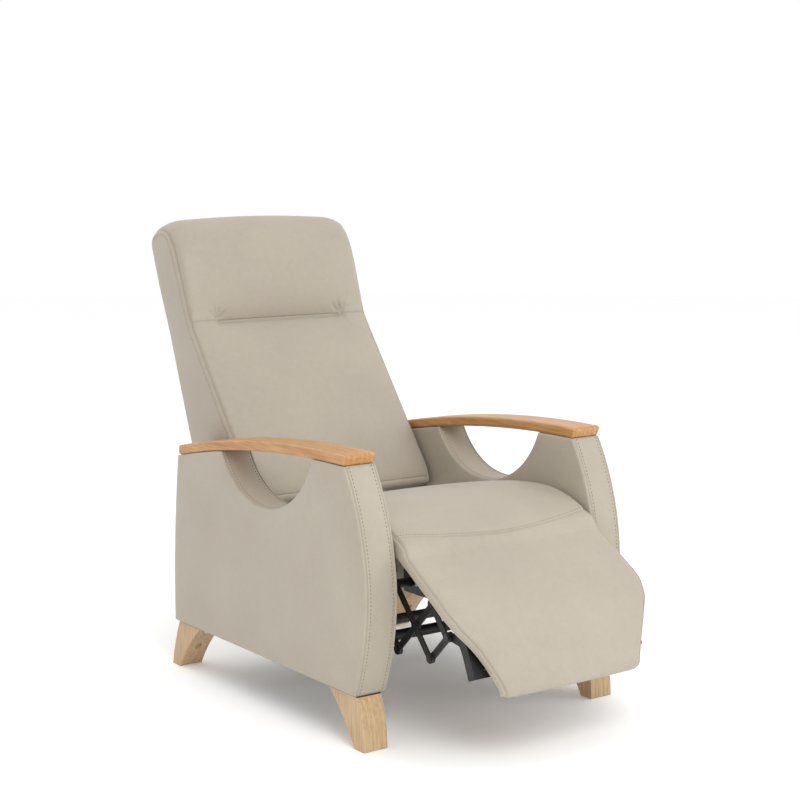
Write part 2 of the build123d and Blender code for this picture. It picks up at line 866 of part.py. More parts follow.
def make_bracket(hand, way):
    """Steel bracket from the ankle pivot to a flange under the board."""
    near, far = layer("drive")
    high = -pad_low - 2 * air - board_thickness
    low = high - bracket_flange_thickness
    with BuildPart() as bracket:
        with BuildSketch(side(way * near)):
            path_band(bracket_start, bracket_end, high - bracket_height, high)
            with BuildLine():
                Polyline(
                    path_point(bracket_start, high),
                    path_point(bracket_start + bracket_height, high - bracket_height / 2),
                    path_point(bracket_start + bracket_height, high - bracket_height),
                    (ankle[0] - eye_radius / 2, ankle[1] - eye_radius * bracket_neck_share),
                    (ankle[0] - eye_radius / 2, ankle[1] + eye_radius * bracket_neck_share),
                    close=True,
                )
            make_face()
            with Locations(ankle):
                Circle(eye_radius)
            with Locations(ankle):
                Circle(pin_radius + pin_play, mode=Mode.SUBTRACT)
        extrude(amount=way * (far - near))
        with BuildSketch(side(way * (far - bracket_flange))):
            path_band(bracket_start, bracket_end, low, high)
        extrude(amount=way * bracket_flange)
        for along in bracket_screw_places:
            with BuildSketch(screw_plane(along)):
                with Locations((way * bracket_screw_x, 0)):
                    Circle(bracket_screw_radius + bolt_play)
            extrude(amount=2 * bracket_flange_thickness, both=True, mode=Mode.SUBTRACT)
    save(bracket, f"footrest_bracket_{hand}")


def back_point(up, out):
    """A (y, z) from the back's datum: up its rear face, out of its front."""
    c, s = cos(radians(back_tilt)), sin(radians(back_tilt))
    return back_y + up * s - out * c, back_z + up * c + out * s


def back_face(up):
    """How far the seam stands out of the rear face, at a height up the back."""
    share = (back_neck - up) / (back_neck - back_foot)
    return head_depth + (lumbar_depth - head_depth) * min(max(share, 0), 1)


def back_board(up):
    """How far the front edge of the back's wooden sides stands out of the rear face."""
    return back_face(up) - back_pad - back_frame_gap


def plate_front(up):
    """How far the front edge of the hip plates stands out of the rear face."""
    share = (up - hip_plate_foot) / (hip_plate_top - hip_plate_foot)
    foot = back_board(hip_plate_foot) - hip_plate_foot_inset
    top = back_board(hip_plate_top) - hip_plate_top_inset
    return foot + share * (top - foot)


def bracket_bolt_points():
    return [back_point(up, plate_front(up) - bracket_bolt_inset) for up in bracket_bolt_places]


def back_polygon(*corners):
    """A straight-sided outline from (up, out) corners of the back."""
    with BuildLine() as outline:
        Polyline(*[back_point(*corner) for corner in corners], close=True)
    make_face(outline.edges())


def back_plane():
    """The back's rear face: first axis to the right, second axis up it."""
    c, s = cos(radians(back_tilt)), sin(radians(back_tilt))
    return Plane(origin=(0, back_y - middle_y, back_z), x_dir=(1, 0, 0), z_dir=(0, -c, s))


def back_front(inset):
    """Front outline of the back with its rounded upper corners, drawn in by inset."""
    wide, high = back_half_width - inset, back_top - inset
    round_x, round_up = back_half_width - back_corner, back_top - back_corner
    radius = back_corner - inset
    low = 2 * back_hem
    lean = radius * sqrt(1 / 2)
    with BuildLine() as outline:
        Polyline((-wide, round_up), (-wide, low), (wide, low), (wide, round_up))
        Line((-round_x, high), (round_x, high))
        for way in SIDES.values():
            ThreePointArc(
                (way * wide, round_up), (way * (round_x + lean), round_up + lean), (way * round_x, high)
            )
    make_face(outline.edges())


def back_block(inset, past):
    """The back's solid shape drawn in by inset, carried past its open front and foot."""
    with BuildPart(mode=Mode.PRIVATE) as block:
        with BuildSketch(side(-back_half_width)):
            back_polygon(
                (back_top - inset, inset),
                (back_hem - past, inset),
                (back_hem - past, lumbar_depth + past),
                (back_foot, lumbar_depth + past),
                (back_neck, head_depth + past),
                (back_top - inset, head_depth + past),
            )
        extrude(amount=2 * back_half_width)
        with BuildSketch(back_plane()):
            back_front(inset)
        extrude(amount=2 * lumbar_depth, both=True, mode=Mode.INTERSECT)
        rear = block.faces().sort_by(Axis((0, 0, 0), back_plane().z_dir))[0]
        fillet(rear.edges().sort_by(Axis.Z)[1:], back_rear_edge - inset)
    return block.part


def make_back_cover():
    """Leather cover over the rear, the sides and the top of the back, open in front and below."""
    with BuildPart() as cover:
        add(back_block(0, 0))
        with BuildSketch(side(-back_half_width)):
            halfway = head_corner * (1 - sqrt(1 / 2))
            with BuildLine():
                ThreePointArc(
                    back_point(back_top - head_corner, head_depth),
                    back_point(back_top - halfway, head_depth - halfway),
                    back_point(back_top, head_depth - head_corner),
                )
                Polyline(
                    back_point(back_top, head_depth - head_corner),
                    back_point(back_top + overrun, head_depth - head_corner),
                    back_point(back_top + overrun, head_depth + overrun),
                    back_point(back_top - head_corner, head_depth + overrun),
                    back_point(back_top - head_corner, head_depth),
                )
            make_face()
        extrude(amount=2 * back_half_width, mode=Mode.SUBTRACT)
        add(back_block(back_wall, overrun), mode=Mode.SUBTRACT)
    save(cover, "back_cover")


def make_back_frame():
    """Wooden sides and rails inside the back, and the webbing across them."""
    outer = layer("main")[1] + air + back_panel
    inner = outer - back_panel
    with BuildPart() as frame:
        for way in SIDES.values():
            with BuildSketch(side(way * inner)):
                back_polygon(
                    (back_panel_low, back_panel_rear),
                    (back_panel_low, back_board(back_panel_low)),
                    (back_foot, back_board(back_foot)),
                    (back_neck, back_board(back_neck)),
                    (back_panel_top, back_board(back_panel_top)),
                    (back_panel_top, back_panel_rear),
                )
            extrude(amount=way * back_panel)
            with BuildSketch(side(way * (inner - overrun))):
                with Locations(*bracket_bolt_points()):
                    Circle(bracket_bolt_radius + bolt_play)
            extrude(amount=way * (overrun + back_panel), mode=Mode.SUBTRACT)
        for up in back_rail_places:
            with BuildSketch(side(-inner)):
                low, high = up - back_rail_height / 2, up + back_rail_height / 2
                back_polygon(
                    (low, back_board(low)),
                    (high, back_board(high)),
                    (high, back_board(high) - back_rail_depth),
                    (low, back_board(low) - back_rail_depth),
                )
            extrude(amount=2 * inner)
    save(frame, "back_frame")

    with BuildPart() as webbing:
        for up in back_web_places:
            with BuildSketch(side(-outer)):
                low, high = up - back_web_width / 2, up + back_web_width / 2
                back_polygon(
                    (low, back_board(low) + air),
                    (high, back_board(high) + air),
                    (high, back_board(high) + air + back_web_thickness),
                    (low, back_board(low) + air + back_web_thickness),
                )
            extrude(amount=2 * outer)
    save(webbing, "back_webbing")


def back_stations(half_width):
    """The x and crown share of the sections that a back cushion is lofted through."""
    right = ((0, 1), (half_width / 2, 0.9), (half_width - back_pad_edge, 0.45), (half_width, 0.08))
    return [(-x, share) for x, share in reversed(right[1:])] + list(right)


def make_back_cushions():
    """Lower cushion and head cushion, crowned between their seams."""
    half_width = back_half_width - back_wall - air
    corner = back_pad_corner
    with BuildPart() as lower:
        for x, share in back_stations(half_width):
            crown = back_crown * share
            high = back_neck - back_pad_gap / 2
            middle = (high + back_foot) / 2
            with BuildSketch(side(x)):
                with BuildLine():
                    Line(back_point(high, back_face(high) - back_pad), back_point(high, back_face(high) - corner))
                    ThreePointArc(
                        back_point(high, back_face(high) - corner),
                        back_point(high - corner / 4, back_face(high) - corner / 4 + crown / 4),
                        back_point(high - corner, back_face(high - corner) + crown / 3),
                    )
                    ThreePointArc(
                        back_point(high - corner, back_face(high - corner) + crown / 3),
                        back_point(middle, back_face(middle) + crown),
                        back_point(back_foot, lumbar_depth + crown / 2),
                    )
                    ThreePointArc(
                        back_point(back_foot, lumbar_depth + crown / 2),
                        back_point((back_foot + back_low) / 2, lumbar_depth + crown / 4 - corner / 4),
                        back_point(back_low, lumbar_depth - corner),
                    )
                    Polyline(
                        back_point(back_low, lumbar_depth - corner),
                        back_point(back_low, lumbar_depth - back_pad),
                        back_point(back_foot, lumbar_depth - back_pad),
                        back_point(high, back_face(high) - back_pad),
                    )
                make_face()
        loft()
    save(lower, "back_cushion")

    with BuildPart() as head:
        for x, share in back_stations(half_width):
            crown = back_crown * share
            low = back_neck + back_pad_gap / 2
            high = back_top - back_wall - back_pad_gap
            bend = high - head_corner
            with BuildSketch(side(x)):
                with BuildLine():
                    ThreePointArc(
                        back_point(low, head_depth - corner),
                        back_point(low + corner / 4, head_depth - corner / 4 + crown / 4),
                        back_point(low + corner, head_depth + crown / 3),
                    )
                    ThreePointArc(
                        back_point(low + corner, head_depth + crown / 3),
                        back_point((low + bend) / 2, head_depth + crown),
                        back_point(bend, head_depth + crown / 2),
                    )
                    ThreePointArc(
                        back_point(bend, head_depth + crown / 2),
                        back_point(high - head_corner / 4, head_depth - head_corner / 4 + crown / 4),
                        back_point(high, head_depth - head_corner),
                    )
                    Polyline(
                        back_point(high, head_depth - head_corner),
                        back_point(high, head_depth - back_pad),
                        back_point(low, head_depth - back_pad),
                        back_point(low, head_depth - corner),
                    )
                make_face()
        loft()
        with BuildSketch(back_plane()):
            back_front(back_wall + air)
        extrude(amount=2 * lumbar_depth, both=True, mode=Mode.INTERSECT)
    save(head, "head_cushion")


def make_back_brackets():
    """Steel brackets that carry the back on the seat's hip pins, and their bolts."""
    near, far = layer("main")
    for hand, way in SIDES.items():
        with BuildPart() as bracket:
            with BuildSketch(side(way * near)):
                foot_front, top_front = plate_front(hip_plate_foot), plate_front(hip_plate_top)
                back_polygon(
                    (hip_plate_foot, foot_front),
                    (hip_plate_top, top_front),
                    (hip_plate_top, top_front - hip_plate_width),
                    (hip_plate_foot, foot_front - hip_plate_width),
                )
                with BuildLine():
                    Polyline(
                        (hip_y - hip_eye_radius / 2, hip_z + hip_eye_radius * sqrt(3 / 4)),
                        back_point(hip_plate_foot + overrun, foot_front),
                        back_point(hip_plate_foot, foot_front - hip_plate_width),
                        (hip_y + hip_eye_radius / 2, hip_z - hip_eye_radius * sqrt(3 / 4)),
                        close=True,
                    )
                make_face()
                with Locations(hip):
                    Circle(hip_eye_radius)
                with Locations(hip):
                    Circle(hip_pin_radius + pin_play, mode=Mode.SUBTRACT)
                with Locations(*bracket_bolt_points()):
                    Circle(bracket_bolt_radius + bolt_play, mode=Mode.SUBTRACT)
            extrude(amount=way * (far - near))
        save(bracket, f"back_bracket_{hand}")

    with BuildPart() as bolts:
        for way in SIDES.values():
            for place in bracket_bolt_points():
                with BuildSketch(side(way * near)):
                    with Locations(place):
                        Circle(bracket_bolt_radius)
                extrude(amount=way * (far - near + bracket_bolt_reach))
                with BuildSketch(side(way * near)):
                    with Locations(place):
                        RegularPolygon(bracket_bolt_head, 6)
                extrude(amount=-way * bracket_bolt_head_height)
    save(bolts, "bracket_bolts")


def make_swing_links():
    """Standing links between the base rails and the seat plates."""
    for name, y in swing_places.items():
        with BuildPart() as links:
            for way in SIDES.values():
                link(way, "swing", (y, swing_low), (y, swing_high))
        save(links, f"swing_links_{name}")


def make_seat_fixings():
    """Webbing across the seat frame, and the pins that stand on the seat plates."""
    with BuildPart() as webbing:
        frame_rear = seat_frame_length - seat_frame_rail
        wells = frame_rear + seat_frame_front - 2 * seat_frame_rail
        pitch = wells / seat_web_count
        for number in range(seat_web_count):
            centre = seat_frame_rail - seat_frame_front + (number + 1 / 2) * pitch
            with BuildSketch(seat_plane(-seat_frame_depth - air - seat_web_thickness)):
                with Locations((0, centre)):
                    Rectangle(2 * seat_web_half_width, seat_web_width)
            extrude(amount=seat_web_thickness)
    save(webbing, "seat_webbing")

    with BuildPart() as pins:
        for way in SIDES.values():
            for y in swing_places.values():
                pin(way, (y, swing_high), layer("seat")[0], layer("swing")[1])
            pin(way, hanger, layer("main")[0], layer("seat")[1])
            pin(way, drive, layer("drive")[0], layer("seat")[1])
            pin(way, hip, layer("main")[0], layer("seat")[1], hip_pin_radius)
    save(pins, "seat_pivots")


def make_linkage():
    """Links, pins and torsion tube that turn the footrest about the seat's front roll."""
    plates = {
        "main_link": ("main", hanger, heel, crossing),
        "cross_link": ("cross", toggle, tail, crossing),
        "lower_link": ("cross", heel, ankle),
        "upper_link": ("main", toggle, ankle),
        "drive_link": ("drive", drive, tail),
    }
    for name, (plane, *points) in plates.items():
        for hand, way in SIDES.items():
            with BuildPart() as plate:
                link(way, plane, *points)
            save(plate, f"{name}_{hand}")

    groups = {
        "main_link_pivots": ((crossing, "cross", "main"), (heel, "cross", "main")),
        "cross_link_pivots": ((toggle, "cross", "main"), (tail, "drive", "cross")),
        "footrest_pivots": ((ankle, "drive", "main"),),
    }
    for name, places in groups.items():
        with BuildPart() as pins:
            for point, near, far in places:
                for way in SIDES.values():
                    pin(way, point, layer(near)[0], layer(far)[1])
        save(pins, name)

    with BuildPart() as tube:
        with BuildSketch(side(-layer("drive")[0])):
            with Locations(torsion):
                Circle(torsion_radius)
                Circle(torsion_radius - tube_wall, mode=Mode.SUBTRACT)
        extrude(amount=2 * layer("drive")[0])
    save(tube, "torsion_tube")

    with BuildPart() as screws:
        for along in bracket_screw_places:
            for way in SIDES.values():
                with BuildSketch(screw_plane(along)):
                    with Locations((way * bracket_screw_x, 0)):
                        Circle(bracket_screw_radius)
                extrude(amount=bracket_screw_length)
                with BuildSketch(screw_plane(along)):
                    with Locations((way * bracket_screw_x, 0)):
                        Circle(bracket_screw_head)
                extrude(amount=-bracket_screw_head_height)
    save(screws, "bracket_screws")


for hand, way in SIDES.items():
    make_arm(hand, way)
    make_leg(
        f"front_leg_{hand}", way, -1, front_foot_y,
        front_leg_top_y, front_leg_depth, front_shin_bulge, front_calf_bulge,
    )
    make_leg(
        f"rear_leg_{hand}", way, 1, rear_foot_y,
        rear_leg_top_y, rear_leg_depth, rear_shin_bulge, rear_calf_bulge,
    )
    make_rail(hand, way)
    make_seat_plate(hand, way)
    make_bracket(hand, way)
make_cap_screws()
make_leg_fixings()
make_base_steel()
make_swing_links()
make_seat()
make_seat_fixings()
make_linkage()
make_pad()
make_board()
make_back_cover()
make_back_frame()
make_back_cushions()
make_back_brackets()
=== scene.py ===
# %% [markdown]
# # A reclining armchair in soft beige leather
# The real chair has two upholstered arms with wooden caps, a tall back, a seat that rolls over into a footrest, and a
# black folding linkage underneath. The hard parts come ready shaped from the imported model, so this script gives them
# wood, steel and webbing finishes. The leather parts are made again here, soft, with their seams and stitches.

# %% The frame
import json
import math
import bmesh
import bpy
import numpy as np
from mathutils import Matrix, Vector
from mathutils.bvhtree import BVHTree
from mathutils.geometry import delaunay_2d_cdt


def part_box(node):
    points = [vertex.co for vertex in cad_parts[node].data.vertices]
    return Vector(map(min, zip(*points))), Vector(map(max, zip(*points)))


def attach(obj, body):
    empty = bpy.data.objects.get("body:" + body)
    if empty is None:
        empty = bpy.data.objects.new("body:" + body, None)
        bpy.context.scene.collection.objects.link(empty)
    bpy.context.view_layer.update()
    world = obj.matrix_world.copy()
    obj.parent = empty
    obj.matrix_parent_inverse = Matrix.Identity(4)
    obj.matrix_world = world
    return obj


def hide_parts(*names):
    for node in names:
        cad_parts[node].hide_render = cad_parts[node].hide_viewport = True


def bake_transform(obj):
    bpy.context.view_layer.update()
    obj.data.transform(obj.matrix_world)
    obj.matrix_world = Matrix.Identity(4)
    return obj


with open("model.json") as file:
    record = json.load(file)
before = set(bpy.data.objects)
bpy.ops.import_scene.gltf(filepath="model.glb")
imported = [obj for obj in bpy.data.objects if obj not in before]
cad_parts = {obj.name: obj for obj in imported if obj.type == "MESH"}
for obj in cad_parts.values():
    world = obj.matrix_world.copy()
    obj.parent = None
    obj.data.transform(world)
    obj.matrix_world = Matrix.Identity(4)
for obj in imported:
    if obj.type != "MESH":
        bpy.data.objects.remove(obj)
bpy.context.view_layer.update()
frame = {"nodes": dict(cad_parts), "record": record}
nodes = frame["nodes"]
scene = bpy.context.scene
HANDS = {"left": -1, "right": 1}

# %% [markdown]
# ## Camera, floor and light
# The photograph was taken with a long lens from the chair's front left, a little above the top of its back. A long lens
# keeps the arms nearly parallel, so the camera stands over four metres away. The floor is one large pale disc. Three
# broad lamps and a white sky, darker towards the room, give the soft shadows of a studio; small lamps would draw hard
# edges that leather doesn't show.

# %% Camera
camera_data = bpy.data.cameras.new("camera")
camera_data.lens = 79.47
camera_data.sensor_width = 36
camera = bpy.data.objects.new("camera", camera_data)
scene.collection.objects.link(camera)
camera.location = (-2.399, -3.358, 1.254)
aim = Vector((0.003, -0.0368, 0.686)) - camera.location
camera.rotation_euler = aim.to_track_quat("-Z", "Y").to_euler()
scene.camera = camera
scene.view_settings.view_transform = "Standard"
print("camera", round(aim.length, 3), "m from the chair")


# %% Node helpers
def tree_node(tree, kind, inputs=(), **properties):
    """One node with its settings, and each input given as a value or as the socket that feeds it."""
    made = tree.nodes.new(kind)
    for name, value in properties.items():
        setattr(made, name, value)
    for name, value in dict(inputs).items():
        if isinstance(value, bpy.types.NodeSocket):
            tree.links.new(value, made.inputs[name])
        else:
            made.inputs[name].default_value = value
    return made


def shader_node(tree, kind, inputs=(), **properties):
    return tree_node(tree, "ShaderNode" + kind, inputs, **properties)


def noise(tree, coords, scale, detail):
    return shader_node(tree, "TexNoise", {"Vector": coords, "Scale": scale, "Detail": detail}).outputs["Fac"]


def multiplied(tree, first, second):
    """Two colours multiplied. The mix node's inputs are numbered, because several share a name."""
    inputs = {0: 1.0, 6: first, 7: second}
    return shader_node(tree, "Mix", inputs, data_type="RGBA", blend_type="MULTIPLY").outputs[2]


def ramp(tree, factor, *stops):
    """A colour ramp over stops of (place, colour or grey)."""
    made = shader_node(tree, "ValToRGB", {"Fac": factor})
    elements = made.color_ramp.elements
    while len(elements) < len(stops):
        elements.new(0.5)
    for element, (place, tone) in zip(elements, stops):
        element.position = place
        element.color = (*tone, 1) if isinstance(tone, tuple) else (tone, tone, tone, 1)
    return made.outputs["Color"]


def srgb(*levels):
    """Screen levels of 0 to 255 as the linear colour that a shader wants."""
    parts = [level / 255 for level in levels]
    return tuple(p / 12.92 if p < 0.04045 else ((p + 0.055) / 1.055) ** 2.4 for p in parts)


def start_material(name, roughness, metallic=0.0, specular=0.5):
    """A new material with its tree, its shader and the object's own coordinates."""
    material = bpy.data.materials.new(name)
    material.use_nodes = True
    tree = material.node_tree
    shader = tree.nodes["Principled BSDF"]
    shader.inputs["Roughness"].default_value = roughness
    shader.inputs["Metallic"].default_value = metallic
    shader.inputs["Specular IOR Level"].default_value = specular
    coords = shader_node(tree, "TexCoord").outputs["Object"]
    return material, tree, shader, coords


def stretched(tree, coords, scale, turn=(0, 0, 0)):
    """Coordinates scaled differently along each axis, for a pattern with a grain."""
    return shader_node(tree, "Mapping", {"Vector": coords, "Scale": scale, "Rotation": turn}).outputs["Vector"]


def bump(tree, shader, *layers):
    """Stacks bumps, each (height socket, distance in metres, strength), and feeds the shader."""
    normal = None
    for height, distance, strength in layers:
        inputs = {"Height": height, "Distance": distance, "Strength": strength}
        if normal:
            inputs["Normal"] = normal
        normal = shader_node(tree, "Bump", inputs).outputs["Normal"]
    tree.links.new(normal, shader.inputs["Normal"])


# %% [markdown]
# ## Leather
# Upholstery leather has a pebble grain of about a millimetre, which breaks up its highlights, and a slow change of
# tone where the hide was dyed unevenly. A picture of leather would blur when the camera comes close. A cell pattern and
# three noises, read in the object's own metres, keep the grain at its real size on every piece.

# %% Leather material
def make_leather(name, tone, shade):
    material, tree, shader, coords = start_material(name, 0.5, specular=0.42)
    broad = noise(tree, coords, 5.0, 3.0)
    mottle = noise(tree, coords, 60.0, 4.0)
    cells = {"Vector": coords, "Scale": 620.0}
    pebble = shader_node(tree, "TexVoronoi", cells, feature="SMOOTH_F1").outputs["Distance"]
    fine = noise(tree, coords, 1500.0, 3.0)
    slow = ramp(tree, broad, (0.3, shade), (0.7, tone))
    specks = ramp(tree, mottle, (0.3, 0.955), (0.65, 1.0))
    pits = ramp(tree, pebble, (0.25, 1.0), (0.75, 0.93))
    tree.links.new(multiplied(tree, multiplied(tree, slow, specks), pits), shader.inputs["Base Color"])
    gloss = ramp(tree, mottle, (0.25, 0.47), (0.75, 0.58))
    tree.links.new(gloss, shader.inputs["Roughness"])
    shader.inputs["Sheen Weight"].default_value = 0.12
    shader.inputs["Sheen Roughness"].default_value = 0.45
    bump(tree, shader, (broad, 0.004, 0.12), (mottle, 0.0008, 0.16), (pebble, 0.0003, 0.5), (fine, 0.0001, 0.35))
    return material


leather = make_leather("leather_beige", srgb(180, 171, 155), srgb(174, 164, 149))
thread, tree, shader, coords = start_material("stitch_thread", 0.7)
strand = noise(tree, coords, 1800.0, 2.0)
tree.links.new(ramp(tree, strand, (0.3, srgb(112, 88, 70)), (0.7, srgb(146, 120, 99))), shader.inputs["Base Color"])
bump(tree, shader, (strand, 0.0001, 0.6))
print("leather and thread made")

# %% [markdown]
# ## Wood
# The caps are oiled beech, honey coloured, with the grain along the arm; the legs are paler beech with upright grain.
# Wood is built from four layers: wide rings, long streaks, the short dark flecks that mark beech, and slow clouds. Each
# is a wave or a noise drawn out along the grain, so one recipe serves both woods and the plywood.

# %% Wood materials
def make_wood(name, light, middle, dark, along, roughness, coat):
    """Wood whose grain runs along one axis, 0 to 2."""
    material, tree, shader, coords = start_material(name, roughness, specular=0.45)
    ring_scale, streak_scale, fleck_scale = (
        [drawn_out if axis == along else 1 for axis in range(3)] for drawn_out in (0.16, 0.05, 0.09)
    )
    ring_space = stretched(tree, coords, ring_scale, (0.06, 0.09, 0.05))
    streak_space = stretched(tree, coords, streak_scale)
    fleck_space = stretched(tree, coords, fleck_scale)
    rings = shader_node(
        tree, "TexWave", {"Vector": ring_space, "Scale": 11.0, "Distortion": 7.0, "Detail": 3.0, "Detail Scale": 1.2},
    ).outputs["Fac"]
    streaks = noise(tree, streak_space, 250.0, 6.0)
    flecks = noise(tree, fleck_space, 520.0, 2.0)
    patches = noise(tree, ring_space, 9.0, 2.0)
    base = ramp(tree, rings, (0.0, middle), (0.55, light), (1.0, middle))
    lines = ramp(tree, streaks, (0.32, tuple(d / m for d, m in zip(dark, middle))), (0.62, 1.0))
    marks = ramp(tree, flecks, (0.62, 1.0), (0.74, 0.8))
    clouds = ramp(tree, patches, (0.3, 0.9), (0.65, 1.04))
    mixed = base
    for layer in (lines, marks, clouds):
        mixed = multiplied(tree, mixed, layer)
    tree.links.new(mixed, shader.inputs["Base Color"])
    tree.links.new(ramp(tree, streaks, (0.3, roughness + 0.08), (0.7, roughness - 0.05)), shader.inputs["Roughness"])
    shader.inputs["Coat Weight"].default_value = coat
    shader.inputs["Coat Roughness"].default_value = 0.3
    bump(tree, shader, (streaks, 0.0003, 0.12), (flecks, 0.0002, 0.2))
    return material


cap_wood = make_wood("beech_honey", srgb(205, 156, 99), srgb(194, 142, 86), srgb(170, 118, 68), 1, 0.4, 0.18)
leg_wood = make_wood("beech_pale", srgb(208, 180, 142), srgb(199, 169, 130), srgb(180, 149, 110), 2, 0.5, 0.05)
plywood = make_wood("plywood_birch", srgb(206, 178, 136), srgb(194, 162, 118), srgb(160, 126, 84), 1, 0.62, 0.0)
print("woods made")

# %% [markdown]
# ## Steel and webbing
# The mechanism is pressed steel with a satin black powder coat, held by dark rivets, and the bolts are zinc plated.
# Powder coat is slightly rough like orange peel, so a fine noise drives its bump. Webbing is a woven elastic strap:
# two crossed waves raise its threads.

# %% Steel and webbing materials
def make_steel(name, low, high, metallic, roughness, peel):
    material, tree, shader, coords = start_material(name, roughness, metallic)
    cloud = noise(tree, coords, 38.0, 5.0)
    grain = noise(tree, coords, 1400.0, 2.0)
    tree.links.new(ramp(tree, cloud, (0.3, low), (0.7, high)), shader.inputs["Base Color"])
    tree.links.new(ramp(tree, cloud, (0.25, roughness + 0.1), (0.8, roughness - 0.06)), shader.inputs["Roughness"])
    bump(tree, shader, (cloud, 0.0003, 0.12), (grain, 0.0001, peel))
    return material


black_steel = make_steel("powder_coat_black", (0.008, 0.008, 0.009), (0.018, 0.018, 0.02), 0.0, 0.42, 0.5)
rivet_steel = make_steel("rivet_dark", (0.05, 0.05, 0.055), (0.11, 0.11, 0.12), 1.0, 0.38, 0.2)
bolt_steel = make_steel("bolt_zinc", (0.42, 0.43, 0.45), (0.6, 0.61, 0.62), 1.0, 0.34, 0.2)

webbing, tree, shader, coords = start_material("webbing_black", 0.85)
threads = {"Vector": coords, "Scale": 160.0}
weft, warp = (shader_node(tree, "TexWave", threads, bands_direction=axis).outputs["Fac"] for axis in "XY")
weave = shader_node(tree, "Math", {0: weft, 1: warp}, operation="MULTIPLY").outputs[0]
strap_tone = ramp(tree, weave, (0.1, (0.012, 0.012, 0.013)), (0.8, (0.05, 0.05, 0.052)))
tree.links.new(strap_tone, shader.inputs["Base Color"])
bump(tree, shader, (weave, 0.0004, 0.7))

SLOT_FINISH = {
    "leather": leather, "cap_wood": cap_wood, "leg_wood": leg_wood, "plywood": plywood, "webbing": webbing,
    "black_steel": black_steel, "rivet_steel": rivet_steel, "bolt_steel": bolt_steel,
}
slots = {part["node"]: part["material_slot"] for part in frame["record"]["subparts"]}
for name, node in nodes.items():
    node.data.materials.clear()
    node.data.materials.append(SLOT_FINISH[slots[name]])
print("finishes on", len(slots), "nodes")


# %% [markdown]
# ## Mesh helpers
# Every soft piece is a plain mesh at the origin with its place in its vertices. A copied part arrives as loose
# triangles, so its doubles are merged before anything else is done to it.

# %% Mesh helpers
def new_object(name, mesh, material=leather):
    for polygon in mesh.polygons:
        polygon.use_smooth = True
    mesh.materials.clear()
    mesh.materials.append(material)
    made = bpy.data.objects.new(name, mesh)
    scene.collection.objects.link(made)
    return made


def closed_mesh(name, points, faces):
    """A mesh with its doubles merged and its faces turned outwards."""
    mesh = bpy.data.meshes.new(name)
    mesh.from_pydata([tuple(map(float, p)) for p in points], [], faces)
    return tidy_mesh(mesh)


def tidy_mesh(mesh, gap=2e-5):
    """Merges points closer than gap, in metres, and turns the faces outwards."""
    work = bmesh.new()
    work.from_mesh(mesh)
    bmesh.ops.remove_doubles(work, verts=work.verts, dist=gap)
    bmesh.ops.dissolve_degenerate(work, edges=work.edges, dist=1e-6)
    bmesh.ops.recalc_face_normals(work, faces=work.faces)
    work.to_mesh(mesh)
    work.free()
    return mesh


def coords_of(mesh):
    flat = np.empty(len(mesh.vertices) * 3, dtype=np.float64)
    mesh.vertices.foreach_get("co", flat)
    return flat.reshape(-1, 3)


def normals_of(mesh):
    flat = np.empty(len(mesh.vertices) * 3, dtype=np.float64)
    mesh.vertex_normals.foreach_get("vector", flat)
    return flat.reshape(-1, 3)


def set_coords(mesh, points):
    mesh.vertices.foreach_set("co", np.asarray(points, dtype=np.float64).ravel())
    mesh.update()


def result_mesh(obj):
    """What the object's modifiers make, as a plain mesh."""
    depsgraph = bpy.context.evaluated_depsgraph_get()
    finished = obj.evaluated_get(depsgraph)
    return bpy.data.meshes.new_from_object(finished, preserve_all_data_layers=True, depsgraph=depsgraph)


def baked(obj):
    """The object with its modifiers applied, and the modifiers gone."""
    mesh = result_mesh(obj)
    old = obj.data
    obj.modifiers.clear()
    obj.data = mesh
    bpy.data.meshes.remove(old)
    return obj


WAVE_COUNT = 7


def waves(points, size, amount, seed):
    """Smooth pseudo-random heights at points: a few sine waves in seeded directions, size in metres."""
    rng = np.random.default_rng(seed)
    total = np.zeros(len(points))
    for _ in range(WAVE_COUNT):
        way = rng.normal(size=3)
        way *= 2 * math.pi / (size * rng.uniform(0.7, 1.6) * np.linalg.norm(way))
        total += np.sin(points @ way + rng.uniform(0, 6.3))
    return amount * total / WAVE_COUNT


def surface_of(mesh):
    """The mesh's faces, ready to be asked for the nearest point or for where a line meets them."""
    return BVHTree.FromPolygons([v.co for v in mesh.vertices], [tuple(p.vertices) for p in mesh.polygons])


def strip_faces(rings, count):
    """Four-sided faces between rings of count points each, ring after ring."""
    faces = []
    for k in range(rings - 1):
        for i in range(count):
            j = (i + 1) % count
            faces.append((k * count + i, k * count + j, (k + 1) * count + j, (k + 1) * count + i))
    return faces


# %% [markdown]
# ## Arms
# Each arm is a padded panel: two leather sides and a band round the edge, sewn together at both corners, with a row of
# top stitching on the band beside each seam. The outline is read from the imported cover, so the arm stays exactly where
# the model has it.
# The band is lofted from one cross-section with the seam's groove in it, and the sides are filled with a net of
# triangles that can puff out. Remeshing would be quicker, but it would melt the groove.

# %% Outline helpers
ON_LINE = 2e-5
SHARP_TURN = 20
SMOOTH_ROUNDS = 6


def rounded_edge_line(node, x):
    """The line (y, z) where a cover's side meets its rounded edge, walked from end to end."""
    mesh = nodes[node].data
    place = {}
    for vertex in mesh.vertices:
        if abs(vertex.co.x - x) < ON_LINE:
            place[vertex.index] = (round(vertex.co.y, 5), round(vertex.co.z, 5))
    near = {}
    for edge in mesh.edges:
        a, b = edge.vertices
        if a in place and b in place and place[a] != place[b]:
            near.setdefault(place[a], set()).add(place[b])
            near.setdefault(place[b], set()).add(place[a])
    start = min((p for p, others in near.items() if len(others) == 1), key=lambda p: p[0])
    line, previous = [start], None
    while True:
        following = [p for p in near[line[-1]] if p != previous]
        if not following or following[0] == line[0]:
            return np.array(line)
        previous = line[-1]
        line.append(following[0])


